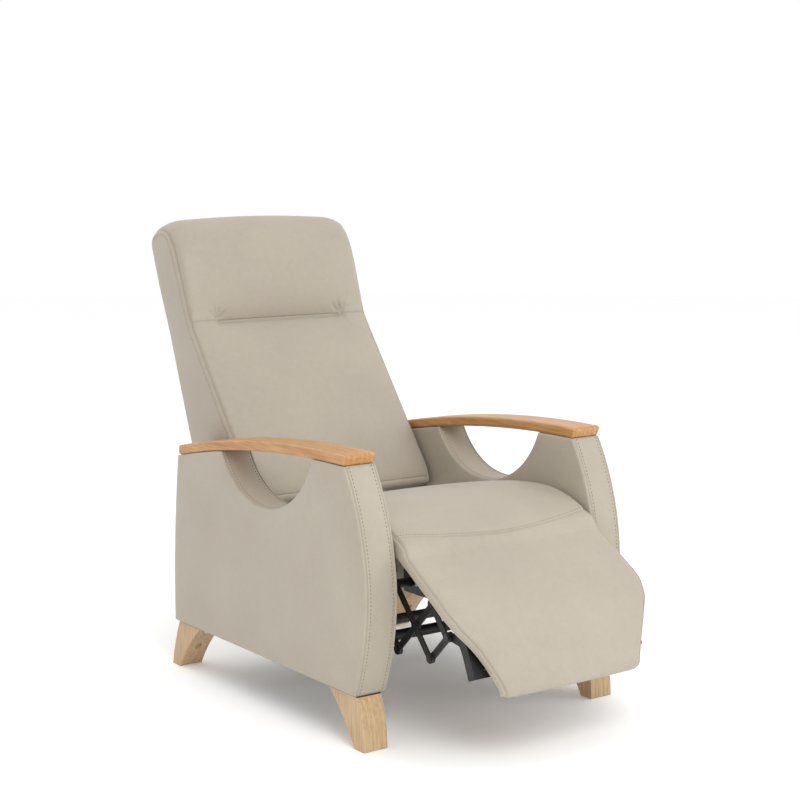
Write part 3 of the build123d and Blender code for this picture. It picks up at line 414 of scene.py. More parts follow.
def even_loop(corners_and_arcs, pitch):
    """A closed loop spaced evenly by about pitch, its sharp corners kept. Returns points and corner indices."""
    points = np.array(corners_and_arcs)
    count = len(points)
    way = np.roll(points, -1, axis=0) - points
    way /= np.linalg.norm(way, axis=1)[:, None]
    turn = np.degrees(np.arccos(np.clip(np.sum(way * np.roll(way, 1, axis=0), axis=1), -1, 1)))
    corners = [i for i in range(count) if turn[i] > SHARP_TURN]
    result, marks = [], []
    for number, start in enumerate(corners):
        end = corners[(number + 1) % len(corners)]
        run = np.array([points[(start + k) % count] for k in range((end - start) % count + 1)])
        lengths = np.concatenate([[0], np.cumsum(np.linalg.norm(np.diff(run, axis=0), axis=1))])
        steps = max(2, round(lengths[-1] / pitch))
        spots = np.linspace(0, lengths[-1], steps + 1)
        even = np.stack([np.interp(spots, lengths, run[:, k]) for k in range(2)], axis=1)
        for _ in range(SMOOTH_ROUNDS):
            even[1:-1] = even[1:-1] / 2 + (even[2:] + even[:-2]) / 4
        marks.append(len(result))
        result.extend(even[:-1])
    return np.array(result), marks


def inset_loop(loop, corners, distance):
    """The loop moved inwards, with points near a corner gathered on the corner's bisector."""
    ahead = np.roll(loop, -1, axis=0) - loop
    ahead /= np.linalg.norm(ahead, axis=1)[:, None]
    behind = np.roll(ahead, 1, axis=0)
    inward = lambda way: np.stack([-way[:, 1], way[:, 0]], axis=1)
    n1, n2 = inward(behind), inward(ahead)
    normal = n1 + n2
    normal /= np.linalg.norm(normal, axis=1)[:, None]
    moved = loop + normal * (distance / np.maximum(np.sum(normal * n1, axis=1), 0.3))[:, None]
    if distance <= 0:
        return moved
    for corner in corners:
        cosine = float(np.dot(behind[corner], ahead[corner]))
        cross = float(behind[corner][0] * ahead[corner][1] - behind[corner][1] * ahead[corner][0])
        if cross <= 0:
            continue
        half = (math.pi - math.acos(max(-1, min(1, cosine)))) / 2
        reach = distance / math.tan(half)
        target = loop[corner] + normal[corner] * distance / math.sin(half)
        for step in (1, -1):
            index = corner
            while np.linalg.norm(loop[index] - loop[corner]) <= reach:
                moved[index] = target
                index = (index + step) % len(loop)
    return moved


# %% Net helpers
BATCH = 2000
FAR = 1e9
TRIANGLE_RISE = 0.866


def gaps_to(points, starts, runs):
    """For each point and each segment: the share of the way along to the nearest place, and the gap to it."""
    square = np.maximum(np.sum(runs * runs, axis=1), 1e-12)
    to = points[:, None, :] - starts[None]
    share = np.clip(np.sum(to * runs[None], axis=2) / square[None], 0, 1)
    return share, np.linalg.norm(to - share[..., None] * runs[None], axis=2)


def distance_to_loop(points, loop):
    """Distance of each point from a closed loop's segments."""
    run = np.roll(loop, -1, axis=0) - loop
    best = np.full(len(points), FAR)
    for start in range(0, len(points), BATCH):
        _, gap = gaps_to(points[start:start + BATCH], loop, run)
        best[start:start + BATCH] = gap.min(axis=1)
    return best


def filled_panel(ring, outline, depths, pitch):
    """A net of triangles inside ring: a line of points at each of depths, then an even grid of pitch. Returns points,
    their distance in from outline, and faces."""
    keep = [0]
    for i in range(1, len(ring)):
        if np.linalg.norm(ring[i] - ring[keep[-1]]) > 5e-5:
            keep.append(i)
    border = ring[keep]
    edge_depth = float(np.median(distance_to_loop(border, outline)))
    inner = []
    for depth in depths:
        shell = inset_loop(outline, [], depth)[::max(1, round(depth / 0.008))]
        inner.append(shell[distance_to_loop(shell, outline) > depth - 2e-4])
    low, high = border.min(axis=0), border.max(axis=0)
    columns = np.arange(low[0], high[0], pitch)
    rows = np.arange(low[1], high[1], pitch * TRIANGLE_RISE)
    grid = np.array([(c + pitch / 2 * (k % 2), r) for k, r in enumerate(rows) for c in columns])
    far = distance_to_loop(grid, outline)
    inner.append(grid[far > depths[-1] + pitch * 0.6])
    points = np.vstack([border, *inner])
    edges = [(i, (i + 1) % len(border)) for i in range(len(border))]
    made = delaunay_2d_cdt([Vector(p) for p in points], edges, [], 1, 1e-7)
    places = np.array([tuple(v) for v in made[0]])
    depth = distance_to_loop(places, outline)
    return places, np.maximum(depth, edge_depth), [tuple(f) for f in made[2]]


# %% Arm covers
ROUND = 0.005
arm_near, arm_far = 0.276, 0.36
ARM_EDGE = 0.356
ARM_PITCH, ARM_LINES, ARM_GRID = 0.0045, (0.008, 0.0125, 0.019, 0.028), 0.014
OUTER_PUFF, INNER_PUFF, PUFF_REACH = 0.005, 0.0018, 0.016
BAND_CROWN, CROWN_FROM, CROWN_POWER = 0.0016, 0.008, 0.6
CAP_REACH, UNDERSIDE = 0.006, 0.13


def band_section(width, crown):
    """Half of the band from its side face: (across, inset) pairs, with the seam's groove after the round corner."""
    turn = [(ROUND * (1 - math.cos(a)), ROUND * (1 - math.sin(a))) for a in np.radians([0, 22, 45, 68, 90])]
    groove = [(ROUND + 0.0006, 0.0002), (ROUND + 0.0013, 0.0022), (ROUND + 0.0025, 0.0022), (ROUND + 0.0032, 0.0002)]
    run = width / 2 - CROWN_FROM
    rise = [(across, -crown * math.sin(math.pi / 2 * (across - CROWN_FROM) / run) ** CROWN_POWER)
            for across in np.linspace(0.0095, width / 2, 5)]
    return turn + groove + rise


def make_arm(hand, way):
    """One arm's leather, with the outline that its stitches follow. The band lies flat under the cap and below."""
    line = rounded_edge_line(f"arm_cover_{hand}", way * ARM_EDGE)
    if np.sum(line[:, 0] * np.roll(line[:, 1], -1) - line[:, 1] * np.roll(line[:, 0], -1)) < 0:
        line = line[::-1]
    outline, corners = even_loop(line, ARM_PITCH)
    cap = surface_of(nodes[f"arm_cap_{hand}"].data)
    middle = way * (arm_near + arm_far) / 2
    free = np.ones(len(outline))
    for i, (y, z) in enumerate(outline):
        from_cap = cap.find_nearest(Vector((middle, y, z)))[3]
        free[i] = 0 if from_cap < CAP_REACH or z < UNDERSIDE else 1
    for _ in range(5):
        free = np.minimum(free, (free + np.roll(free, 1) + np.roll(free, -1)) / 3)
    half = band_section(arm_far - arm_near, BAND_CROWN)
    section = half + [(arm_far - arm_near - across, inset) for across, inset in reversed(half[:-1])]
    points, rings = [], []
    for across, inset in section:
        if inset < 0:
            ring = outline + (inset_loop(outline, corners, -0.001) - outline) * (-inset / 0.001 * free)[:, None]
        else:
            ring = inset_loop(outline, corners, inset)
        rings.append(ring)
        points.extend((way * (arm_far - across), y, z) for y, z in ring)
    faces = strip_faces(len(section), len(outline))
    for x, ring, puff, seed in ((arm_far, rings[0], OUTER_PUFF, 3), (arm_near, rings[-1], INNER_PUFF, 5)):
        places, depth, fill = filled_panel(ring, outline, ARM_LINES, ARM_GRID)
        out = 1 if x > arm_near else -1
        swell = puff * (1 - np.exp(-np.maximum(depth - ROUND, 0) / PUFF_REACH))
        uneven = waves(np.column_stack([places, places[:, :1] * 0]), 0.16, 0.0011, seed + way)
        swell += uneven * np.clip((depth - 0.01) / 0.06, 0, 1)
        base = len(points)
        points.extend((way * (x + out * s), p[0], p[1]) for p, s in zip(places, swell))
        faces.extend(tuple(base + i for i in f) for f in fill)
    cover = new_object(f"arm_leather_{hand}", closed_mesh(f"arm_leather_{hand}", points, faces))
    print(cover.name, "outline", len(outline), "corners", len(corners), "faces", len(cover.data.polygons))
    return cover, outline, corners


arms = {hand: make_arm(hand, way) for hand, way in HANDS.items()}

# %% [markdown]
# ## Places on the back and on the footrest
# The back leans, and the footrest follows a bent line, so both are easier to shape in their own measures: how far up
# the back or along the footrest, and how far out of its face. Each pair of functions turns those into metres in the
# room and back again.

# %% Back and footrest measures
DATUM_Y = -0.0368
lean = math.radians(21)
back_root = np.array([0.4637 + DATUM_Y, 0.3926])
back_up = np.array([math.sin(lean), math.cos(lean)])
back_out = np.array([-math.cos(lean), math.sin(lean)])
BACK_FACING = np.array([0, *back_out])
BACK_HALF, CREASE = 0.2649, 0.44


def on_back(x, up, out):
    """Points from how far across, up and out of the back's rear face."""
    x, up, out = np.broadcast_arrays(x, up, out)
    place = back_root + up[..., None] * back_up + out[..., None] * back_out
    return np.concatenate([x[..., None], place], axis=-1)


def from_back(points):
    """How far up the back and out of its rear face each point is."""
    offset = points[:, -2:] - back_root
    return offset @ back_up, offset @ back_out


knee = np.array([-0.356 + DATUM_Y, 0.432])
SLOPE, BEND, BEND_RADIUS, RUN = math.radians(31), math.radians(37), 0.207, 0.18
FLAT_WAY = np.array([-math.cos(SLOPE), -math.sin(SLOPE)])
FLAT_UP = np.array([-math.sin(SLOPE), math.cos(SLOPE)])
bend_centre = knee + RUN * FLAT_WAY - BEND_RADIUS * FLAT_UP


def on_pad(x, along, above):
    """Points from how far across, along and above the footrest's line."""
    x, along, above = np.broadcast_arrays(x, along, above)
    slope = SLOPE + np.clip((along - RUN) / BEND_RADIUS, 0, BEND)
    toe = np.maximum(along - RUN - BEND * BEND_RADIUS, 0)
    way = np.stack([-np.cos(slope), -np.sin(slope)], axis=-1)
    normal = np.stack([-np.sin(slope), np.cos(slope)], axis=-1)
    place = knee + np.minimum(along, RUN)[..., None] * FLAT_WAY + BEND_RADIUS * (normal - FLAT_UP)
    place = place + toe[..., None] * way + above[..., None] * normal
    return np.concatenate([x[..., None], place], axis=-1)


def from_pad(points):
    """How far along the footrest's line and above it each point is."""
    offset = points[:, -2:] - knee
    along, above = offset @ FLAT_WAY, offset @ FLAT_UP
    spoke = points[:, -2:] - bend_centre
    angle = np.arctan2(-spoke[:, 0], spoke[:, 1]) - SLOPE
    bent = (along > RUN) & (angle > 0)
    inside = bent & (angle <= BEND)
    along = np.where(inside, RUN + angle * BEND_RADIUS, along)
    above = np.where(inside, np.linalg.norm(spoke, axis=1) - BEND_RADIUS, above)
    last = SLOPE + BEND
    way = np.array([-math.cos(last), -math.sin(last)])
    normal = np.array([-math.sin(last), math.cos(last)])
    toe = bent & (angle > BEND)
    along = np.where(toe, RUN + BEND * BEND_RADIUS + spoke @ way, along)
    above = np.where(toe, spoke @ normal - BEND_RADIUS, above)
    return along, above


print("knee at", knee.round(4), "back root at", back_root.round(4))

# %% [markdown]
# ## Cased cushions
# The photograph shows how the back and the seat are sewn: two flat side panels, and one long strip of leather that
# wraps round them, over the front and the top. So both are built like the arms, as two filled panels and a lofted
# strip with a groove at the seam. The foam's fullness is then worked out by the cloth solver: the hidden sides and the
# seams are held, pressure swells the rest for twenty frames, and a limit keeps every point near its place.

# %% Case helpers
def carried(points, keys):
    """Values set at key points (a, b, values...) of a closed line, carried over to points near that line."""
    a = np.array(keys, dtype=float)
    b = np.roll(a, -1, axis=0)
    share, gap = gaps_to(points, a[:, :2], b[:, :2] - a[:, :2])
    nearest = np.argmin(gap, axis=1)
    part = share[np.arange(len(points)), nearest][:, None]
    return a[nearest, 2:] * (1 - part) + b[nearest, 2:] * part


SEAM_RINGS = [(0.0, -0.004), (0.0012, -0.0012), (0.0034, 0.0), (0.0044, -0.0021), (0.0056, -0.0021), (0.0066, 0.0002)]
ROLL_PLACES = (0.009, 0.012, 0.0165, 0.022, 0.0285, 0.036, 0.044)
STRIP_ROWS = 26
CASE_LINES, CASE_GRID = (0.0085, 0.015), 0.013
ROLL_FROM, SIDE_REACH = 0.005, 0.02


def cased_cushion(name, keys, width_of, side_puff, pitch=0.0085):
    """A closed case. keys are (y, z, roll, crown, reach) round the side: how much the strip rolls up from the seam, how
    much it crowns in the middle, and over what reach it rolls. Returns the case, its side's outline and its corners."""
    area = sum(a[0] * b[1] - a[1] * b[0] for a, b in zip(keys, keys[1:] + keys[:1]))
    outline, corners = even_loop([key[:2] for key in (keys if area > 0 else keys[::-1])], pitch)
    count = len(outline)
    roll, crown, reach = carried(outline, keys).T
    for _ in range(4):
        roll, crown, reach = ((np.roll(v, 1) + v * 2 + np.roll(v, -1)) / 4 for v in (roll, crown, reach))
    outward = (inset_loop(outline, corners, -0.001) - outline) / 0.001
    half = width_of(outline)
    points = []
    rows = [(across, lift, 0.0) for across, lift in SEAM_RINGS] + [(across, None, 0.0) for across in ROLL_PLACES]
    rows += [(ROLL_PLACES[-1], None, share) for share in np.linspace(0, 1, STRIP_ROWS)[1:]]
    sides = [(row, -1) for row in rows] + [(row, 1) for row in reversed(rows[:-1])]
    for (across, lift, share), way in sides:
        distance = across + (half - across) * share
        if lift is None:
            rolled = np.sqrt(np.clip(1 - (1 - np.minimum((distance - ROLL_FROM) / reach, 1)) ** 2, 0, 1))
            lift = roll * rolled + crown * np.sin(math.pi / 2 * distance / half)
        place = outline + outward * np.broadcast_to(lift, (count,))[:, None]
        points.extend(np.column_stack([way * width_of(place) * (1 - distance / half), place]))
    faces = strip_faces(len(sides), count)
    sunk = SEAM_RINGS[0][1]
    ring = outline + outward * sunk
    places, depth, fill = filled_panel(ring, outline, CASE_LINES, CASE_GRID)
    swell = side_puff * (1 - np.exp(-np.maximum(depth + sunk, 0) / SIDE_REACH))
    swell[distance_to_loop(places, ring) < 1e-6] = 0
    for way in (-1, 1):
        base = len(points)
        points.extend(np.column_stack([way * (width_of(places) + swell), places]))
        faces.extend(tuple(base + i for i in f) for f in fill)
    case = new_object(name, closed_mesh(name, points, faces))
    print(name, "outline", count, "faces", len(case.data.polygons))
    return case, outline, corners


# %% Swelling
def blow_up(obj, held, pressure, limit, frames=20):
    """Cloth with air pressure inside. held is each point's hold from 0 to 1, limit the most that a point moves."""
    mesh = obj.data
    start = coords_of(mesh)
    group = obj.vertex_groups.new(name="held")
    for index in np.nonzero(held > 0.02)[0]:
        group.add([int(index)], float(held[index]), "REPLACE")
    cloth = obj.modifiers.new("case", "CLOTH")
    settings = cloth.settings
    settings.quality = 4
    settings.mass = 0.3
    settings.tension_stiffness = settings.compression_stiffness = 18
    settings.bending_stiffness = 1.5
    settings.use_pressure = True
    settings.uniform_pressure_force = pressure
    settings.vertex_group_mass = "held"
    settings.effector_weights.gravity = 0
    cloth.collision_settings.use_collision = False
    cloth.collision_settings.use_self_collision = False
    cloth.point_cache.frame_start, cloth.point_cache.frame_end = 1, frames
    for frame_number in range(1, frames + 1):
        scene.frame_set(frame_number)
    swollen = obj.evaluated_get(bpy.context.evaluated_depsgraph_get())
    moved = coords_of(swollen.to_mesh()) - start
    swollen.to_mesh_clear()
    reach = np.linalg.norm(moved, axis=1)
    moved *= np.minimum(1, limit / np.maximum(reach, 1e-9))[:, None]
    obj.modifiers.clear()
    obj.vertex_groups.clear()
    scene.frame_set(1)
    set_coords(mesh, start + moved)
    mean, most = (round(float(length) * 1000, 1) for length in (reach.mean(), reach.max()))
    print(obj.name, "swelled by", mean, "mm on average, at most", most, "before the limit")


def smoothed(obj, rounds, only, share=0.5):
    """Evens out the points for which only is true."""
    work = bmesh.new()
    work.from_mesh(obj.data)
    work.verts.ensure_lookup_table()
    picked = [work.verts[i] for i in np.nonzero(only)[0]]
    for _ in range(rounds):
        bmesh.ops.smooth_vert(work, verts=picked, factor=share, use_axis_x=True, use_axis_y=True, use_axis_z=True)
    work.to_mesh(obj.data)
    work.free()


def subdivided(obj):
    finer = obj.modifiers.new("finer", "SUBSURF")
    finer.levels = finer.render_levels = 1
    return baked(obj)


# %% Seam helpers
SEAM_REACH = 0.06
LINE_BATCH = 3000


def distance_to_line(points, line):
    """Distance of points from a line in space, worked out only for those within SEAM_REACH of its box."""
    a = np.asarray(line)
    run = a[1:] - a[:-1]
    a = a[:-1]
    best = np.full(len(points), FAR)
    low, high = a.min(axis=0) - SEAM_REACH, a.max(axis=0) + SEAM_REACH
    close = np.nonzero(np.all((points > low) & (points < high), axis=1))[0]
    for start in range(0, len(close), LINE_BATCH):
        index = close[start:start + LINE_BATCH]
        _, gap = gaps_to(points[index], a, run)
        best[index] = gap.min(axis=1)
    return best


def refined(obj, line, reaches):
    """More faces near a seam: every edge within reach of the line is cut in two, once for each reach."""
    work = bmesh.new()
    work.from_mesh(obj.data)
    for reach in reaches:
        points = np.array([v.co[:] for v in work.verts])
        near = distance_to_line(points, line) < reach
        edges = [e for e in work.edges if near[e.verts[0].index] and near[e.verts[1].index]]
        bmesh.ops.subdivide_edges(work, edges=edges, cuts=1, use_grid_fill=True)
        work.verts.index_update()
    bmesh.ops.triangulate(work, faces=[f for f in work.faces if len(f.verts) > 4])
    work.to_mesh(obj.data)
    work.free()


def sewn(obj, line, depth, width, pull=0.0, pull_width=0.03):
    """Presses a seam's groove into the leather, with a wider dip where the seam pulls the padding down."""
    points, normals = coords_of(obj.data), normals_of(obj.data)
    gap = distance_to_line(points, line)
    dip = depth * np.exp(-(gap / width) ** 2) + pull * np.exp(-(gap / pull_width) ** 2)
    set_coords(obj.data, points - normals * dip[:, None])


def dropped(obj, points, ways, reach=0.12):
    """Where lines that come in along ways meet the object's surface, and the surface's normal there."""
    obj.data.update()
    surface = surface_of(obj.data)
    spots, facing = [], []
    for point, way in zip(points, ways):
        hit, normal, _, _ = surface.ray_cast(Vector(point), Vector(way), reach)
        if hit is None:
            hit, normal, _, _ = surface.find_nearest(Vector(point))
        spots.append(hit[:])
        facing.append(normal[:])
    return np.array(spots), np.array(facing)


# %% [markdown]
# ## Back
# The head end rolls thickly over the top, so the strip stands highest there. The crease under the head is deep between
# the shoulders and fades to a plain seam at both ends, with short folds where it stops: the leather has nowhere else to
# go. The crease's wide dip is made before the leather swells, so that the solver rounds it on both sides. The narrow
# grooves and the short folds are pressed in afterwards, where the net has been made finer.

# %% Back case
# (up, out, roll, crown, reach) round the back's side, up its front, over the head and down its rear
BACK_KEYS = [
    (-0.052, 0.012, 0.001, 0.0, 0.02), (-0.052, 0.226, 0.001, 0.0, 0.02), (-0.044, 0.2335, 0.006, 0.003, 0.03),
    (-0.008, 0.233, 0.011, 0.006, 0.03), (0.12, 0.1965, 0.012, 0.007, 0.032), (0.30, 0.145, 0.011, 0.006, 0.032),
    (0.42, 0.1107, 0.009, 0.004, 0.03), (0.44, 0.1055, 0.01, 0.004, 0.03), (0.47, 0.106, 0.015, 0.006, 0.03),
    (0.55, 0.107, 0.022, 0.009, 0.034), (0.62, 0.106, 0.024, 0.01, 0.038), (0.657, 0.101, 0.024, 0.011, 0.045),
    (0.68, 0.089, 0.023, 0.011, 0.05), (0.695, 0.07, 0.022, 0.011, 0.055), (0.702, 0.046, 0.02, 0.01, 0.055),
    (0.701, 0.024, 0.016, 0.007, 0.05), (0.693, 0.008, 0.009, 0.004, 0.04), (0.68, -0.001, 0.004, 0.003, 0.03),
    (0.655, -0.002, 0.002, 0.003, 0.03), (0.30, -0.002, 0.001, 0.004, 0.03), (-0.04, -0.001, 0.001, 0.001, 0.02),
    (-0.0485, 0.003, 0.001, 0.0, 0.02),
]


def back_width(places):
    """The side panels stand a little wider at the head, where the roll is fullest."""
    up, _ = from_back(places)
    return BACK_HALF + 0.0035 * np.clip((up - 0.45) / 0.12, 0, 1)


def make_back():
    """The back's leather, swollen, with its side's outline and corners for the stitches."""
    keys = []
    for up, out, roll, crown, reach in BACK_KEYS:
        place = on_back(np.array([0.0]), np.array([up]), np.array([out]))[0]
        keys.append((place[1], place[2], roll, crown, reach))
    case, outline, corners = cased_cushion("back_leather", keys, back_width, 0.0032)
    points, normals = coords_of(case.data), normals_of(case.data)
    x = points[:, 0]
    up, out = from_back(points)
    front = (normals @ BACK_FACING > 0.2) & (out > 0.08)
    inner = np.clip((0.197 - abs(x)) / 0.024, 0, 1)
    fall = np.where(up > CREASE, 0.019, 0.0085)
    crease = front * inner * inner * (3 - 2 * inner) * 0.015 * np.exp(-((up - CREASE) / fall) ** 2)
    set_coords(case.data, points - BACK_FACING * crease[:, None])
    seam = np.clip(1 - (BACK_HALF - abs(x)) / 0.02, 0, 1)
    line = np.exp(-((up - CREASE) / 0.009) ** 2) * (0.55 + 0.45 * inner)
    edge = np.clip((0.07 - out) / 0.03, 0, 1) * np.clip((0.69 - up) / 0.03, 0, 1)
    low = np.clip((-0.02 - up) / 0.025, 0, 1)
    side = 1.0 * (abs(normals[:, 0]) > 0.9)
    held = np.clip(np.maximum.reduce([seam, line, edge, low, side]), 0, 1)
    blow_up(case, held, 2.4, 0.009)
    smoothed(case, 1, front & (abs(x) < BACK_HALF - 0.01), 0.4)
    return subdivided(case), outline, corners


back_leather, back_outline, back_corners = make_back()


def back_line(x, up, start=0.34):
    """Where lines from the front meet the back's leather."""
    x, up = np.broadcast_arrays(np.asarray(x, dtype=float), np.asarray(up, dtype=float))
    spots = on_back(x, up, np.full(len(x), start))
    return dropped(back_leather, spots, np.tile(-BACK_FACING, (len(x), 1)), 0.5)


across = np.linspace(-0.2585, 0.2585, 100)
dipped = np.clip((0.2 - abs(across)) / 0.03, 0, 1)
crease_line, _ = back_line(across, CREASE)
hem_line, _ = back_line(across, -0.036)
for way in (-1, 1):
    fold_line, _ = back_line([way * 0.18, way * 0.184, way * 0.19], [CREASE, CREASE + 0.014, CREASE + 0.03])
    refined(back_leather, fold_line, (0.03,))
refined(back_leather, crease_line, (0.011, 0.007))
refined(back_leather, hem_line, (0.009, 0.006))
sewn(back_leather, crease_line, 0.0022, 0.0018, 0.0006, 0.009)
sewn(back_leather, crease_line[dipped > 0.7], 0.0042, 0.0026, 0.0024, 0.007)
sewn(back_leather, hem_line, 0.0018, 0.0018, 0.001, 0.009)


# each fold's direction, in radians from straight outwards, and its depth
FOLDS = ((0.7, 0.0026), (1.25, 0.0042), (1.85, 0.0046), (2.4, 0.003), (-1.5, 0.0018))
CREASE_END = 0.186


def pucker(way):
    """Short folds that fan out from the place where the deep crease ends."""
    points, normals = coords_of(back_leather.data), normals_of(back_leather.data)
    up, _ = from_back(points)
    facing = normals @ BACK_FACING > 0.3
    dx, du = points[:, 0] * way - CREASE_END, up - CREASE
    reach, angle = np.hypot(dx, du), np.arctan2(du, dx)
    dip = 0.0028 * np.exp(-(reach / 0.010) ** 2)
    for at, size in FOLDS:
        spread = np.exp(-((angle - at) * np.maximum(reach, 0.01) / 0.0042) ** 2)
        dip += size * spread * np.exp(-((reach - 0.018) / 0.017) ** 2)
    set_coords(back_leather.data, points - normals * (dip * facing)[:, None])


for way in (-1, 1):
    pucker(way)
print(back_leather.name, "faces", len(back_leather.data.polygons))

# %% [markdown]
# ## Seat and footrest
# On the real chair the leather runs on from the seat over the knee to the toe, and that is what bends when the footrest
# folds. So one case follows the seat's top, the knee and the footrest, and narrows towards the toe. A curved seam
# crosses it at the knee.

# %% Seat and footrest case
# half widths as (along the footrest's line, half width), and the seat's lines as (y, z)
WIDTHS = [
    (-0.03, 0.2712), (0.0, 0.2705), (0.09, 0.2725), (0.205, 0.273), (0.25, 0.26), (0.29, 0.235), (0.33, 0.214),
    (0.37, 0.196), (0.41, 0.183),
]
SEAT_TOP = [
    (0.1772, 0.405), (0.15, 0.412), (0.11, 0.4215), (0.05, 0.436), (-0.01, 0.4495), (-0.07, 0.462), (-0.13, 0.473),
    (-0.19, 0.4815), (-0.24, 0.4855), (-0.28, 0.485), (-0.31, 0.481), (-0.34, 0.4735), (-0.37, 0.463), (-0.398, 0.45),
    (-0.42, 0.4385),
]
SEAT_UNDER = [
    (-0.392, 0.4135), (-0.366, 0.4193), (-0.34, 0.4205), (-0.25, 0.4055), (-0.1, 0.3805), (0.05, 0.3555),
    (0.1772, 0.3342),
]

# the footrest's line as (along, above, roll, crown, reach): its top, round the toe, and back underneath
PAD_TOP = [
    (along, 0.0072, 0.006, 0.004, 0.026)
    for along in (0.05, 0.08, 0.11, 0.14, 0.17, 0.2, 0.23, 0.26, 0.29, 0.32, 0.35, 0.378)
]
PAD_TOE = [
    (0.39, 0.0055, 0.005, 0.002, 0.02), (0.3975, 0.0, 0.004, 0.002, 0.02), (0.3985, -0.008, 0.003, 0.002, 0.02),
    (0.396, -0.0165, 0.002, 0.002, 0.02),
]
PAD_UNDER = [
    (along, above, 0.0, 0.0, 0.02)
    for along, above in ((0.3905, -0.0175), (0.3875, -0.0122), (0.36, -0.012), (0.3, -0.012), (0.25, -0.012),
                         (0.2, -0.012), (0.15, -0.012), (0.1, -0.012), (0.05, -0.012), (0.026, -0.0122))
]


def pad_width(places):
    """Half the case's width at each place."""
    along, _ = from_pad(places)
    widths = np.array(WIDTHS)
    return np.interp(along, widths[:, 0], widths[:, 1])


def make_seat():
    """The leather of the seat and the footrest, swollen."""
    keys = [(y, z, 0.009 if y < 0 else 0.006, 0.008 if y < -0.1 else 0.003, 0.034) for y, z in SEAT_TOP]
    for along, above, roll, crown, reach in (*PAD_TOP, *PAD_TOE, *PAD_UNDER):
        place = on_pad(np.zeros(1), np.array([along]), np.array([above]))[0]
        keys.append((place[1], place[2], roll, crown, reach))
    keys += [(y, z, 0.0, 0.0, 0.02) for y, z in SEAT_UNDER]
    case, _, _ = cased_cushion("seat_leather", keys, pad_width, 0.0012)
    points, normals = coords_of(case.data), normals_of(case.data)
    along, _ = from_pad(points)
    half = pad_width(points[:, 1:])
    top = normals @ np.array([0, *FLAT_UP]) > 0.1
    seam = np.clip(1 - (half - abs(points[:, 0])) / 0.02, 0, 1)
    knee_hold = 0.5 * np.exp(-((along - 0.02) / 0.014) ** 2)
    foot = np.clip((along - 0.02) / 0.05, 0, 1) * 0.6
    toe = np.clip((along - 0.345) / 0.03, 0, 1)
    held = np.where(top, np.maximum.reduce([seam, knee_hold, foot, toe]), 1.0)
    held = np.maximum(held, np.clip((points[:, 1] - 0.08) / 0.05, 0, 1))
    blow_up(case, held, 2.0, 0.007)
    return subdivided(case)


seat_leather = make_seat()


def knee_seam():
    """The curved seam across the knee, as points on the leather and the leather's normals there."""
    x = np.linspace(-0.2675, 0.2675, 90)
    along = 0.032 - 0.038 * (x / 0.256) ** 2
    high = on_pad(x, along, 0.1)
    normal = on_pad(x, along, 0.0) - high
    return dropped(seat_leather, high, normal / np.linalg.norm(normal, axis=1)[:, None])


knee_line, knee_normals = knee_seam()
refined(seat_leather, knee_line, (0.011, 0.007))
sewn(seat_leather, knee_line, 0.0026, 0.0019, 0.0014, 0.011)
points = coords_of(seat_leather.data)
clear_of_arm = arm_near - 0.002
points[:, 0] = np.clip(points[:, 0], -clear_of_arm, clear_of_arm)
set_coords(seat_leather.data, points)
print(seat_leather.name, "faces", len(seat_leather.data.polygons), "widest", round(float(abs(points[:, 0]).max()), 4))


# %% [markdown]
# ## Rear panel
# A thinly padded board closes the rear between the arms. It is a plain rectangle with no seam to lose, so a voxel
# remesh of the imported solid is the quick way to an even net, which is then softened at the edges and crowned a little.

# %% Rear panel
PANEL_CROWN, PANEL_REACH = 0.004, 0.03


def make_rear_panel():
    """The padded board between the arms at the rear: a copy with softened edges and a small crown."""
    work = bmesh.new()
    work.from_mesh(nodes["rear_panel"].data)
    mesh = bpy.data.meshes.new("rear_panel_leather")
    work.to_mesh(mesh)
    work.free()
    panel = new_object("rear_panel_leather", tidy_mesh(mesh, 1e-5))
    net = panel.modifiers.new("net", "REMESH")
    net.mode, net.voxel_size, net.use_smooth_shade = "VOXEL", 0.0045, True
    baked(panel)
    smoothed(panel, 4, np.ones(len(panel.data.vertices), dtype=bool))
    points = coords_of(panel.data)
    low, high = (np.array(c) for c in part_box("rear_panel"))
    inside = np.minimum(points - low, high - points)[:, [0, 2]].min(axis=1)
    crown = PANEL_CROWN * (1 - np.exp(-np.maximum(inside, 0) / PANEL_REACH))
    side = np.sign(points[:, 1] - (low[1] + high[1]) / 2)
    points[:, 1] += side * crown + waves(points, 0.12, 0.0008, 9)
    set_coords(panel.data, points)
    return panel


rear_panel_leather = make_rear_panel()
print(rear_panel_leather.name, "faces", len(rear_panel_leather.data.polygons))

# %% [markdown]
# ## Stitches
# Top stitching is a row of equal thread loops beside a seam. Modelling each by hand is hopeless, and painting them
# leaves them flat, so a small node tree lays them: it spaces points evenly along a curve, sets one short thread on
# each, turned along the curve, and makes them real. Pitch, thread length and thickness are its inputs.

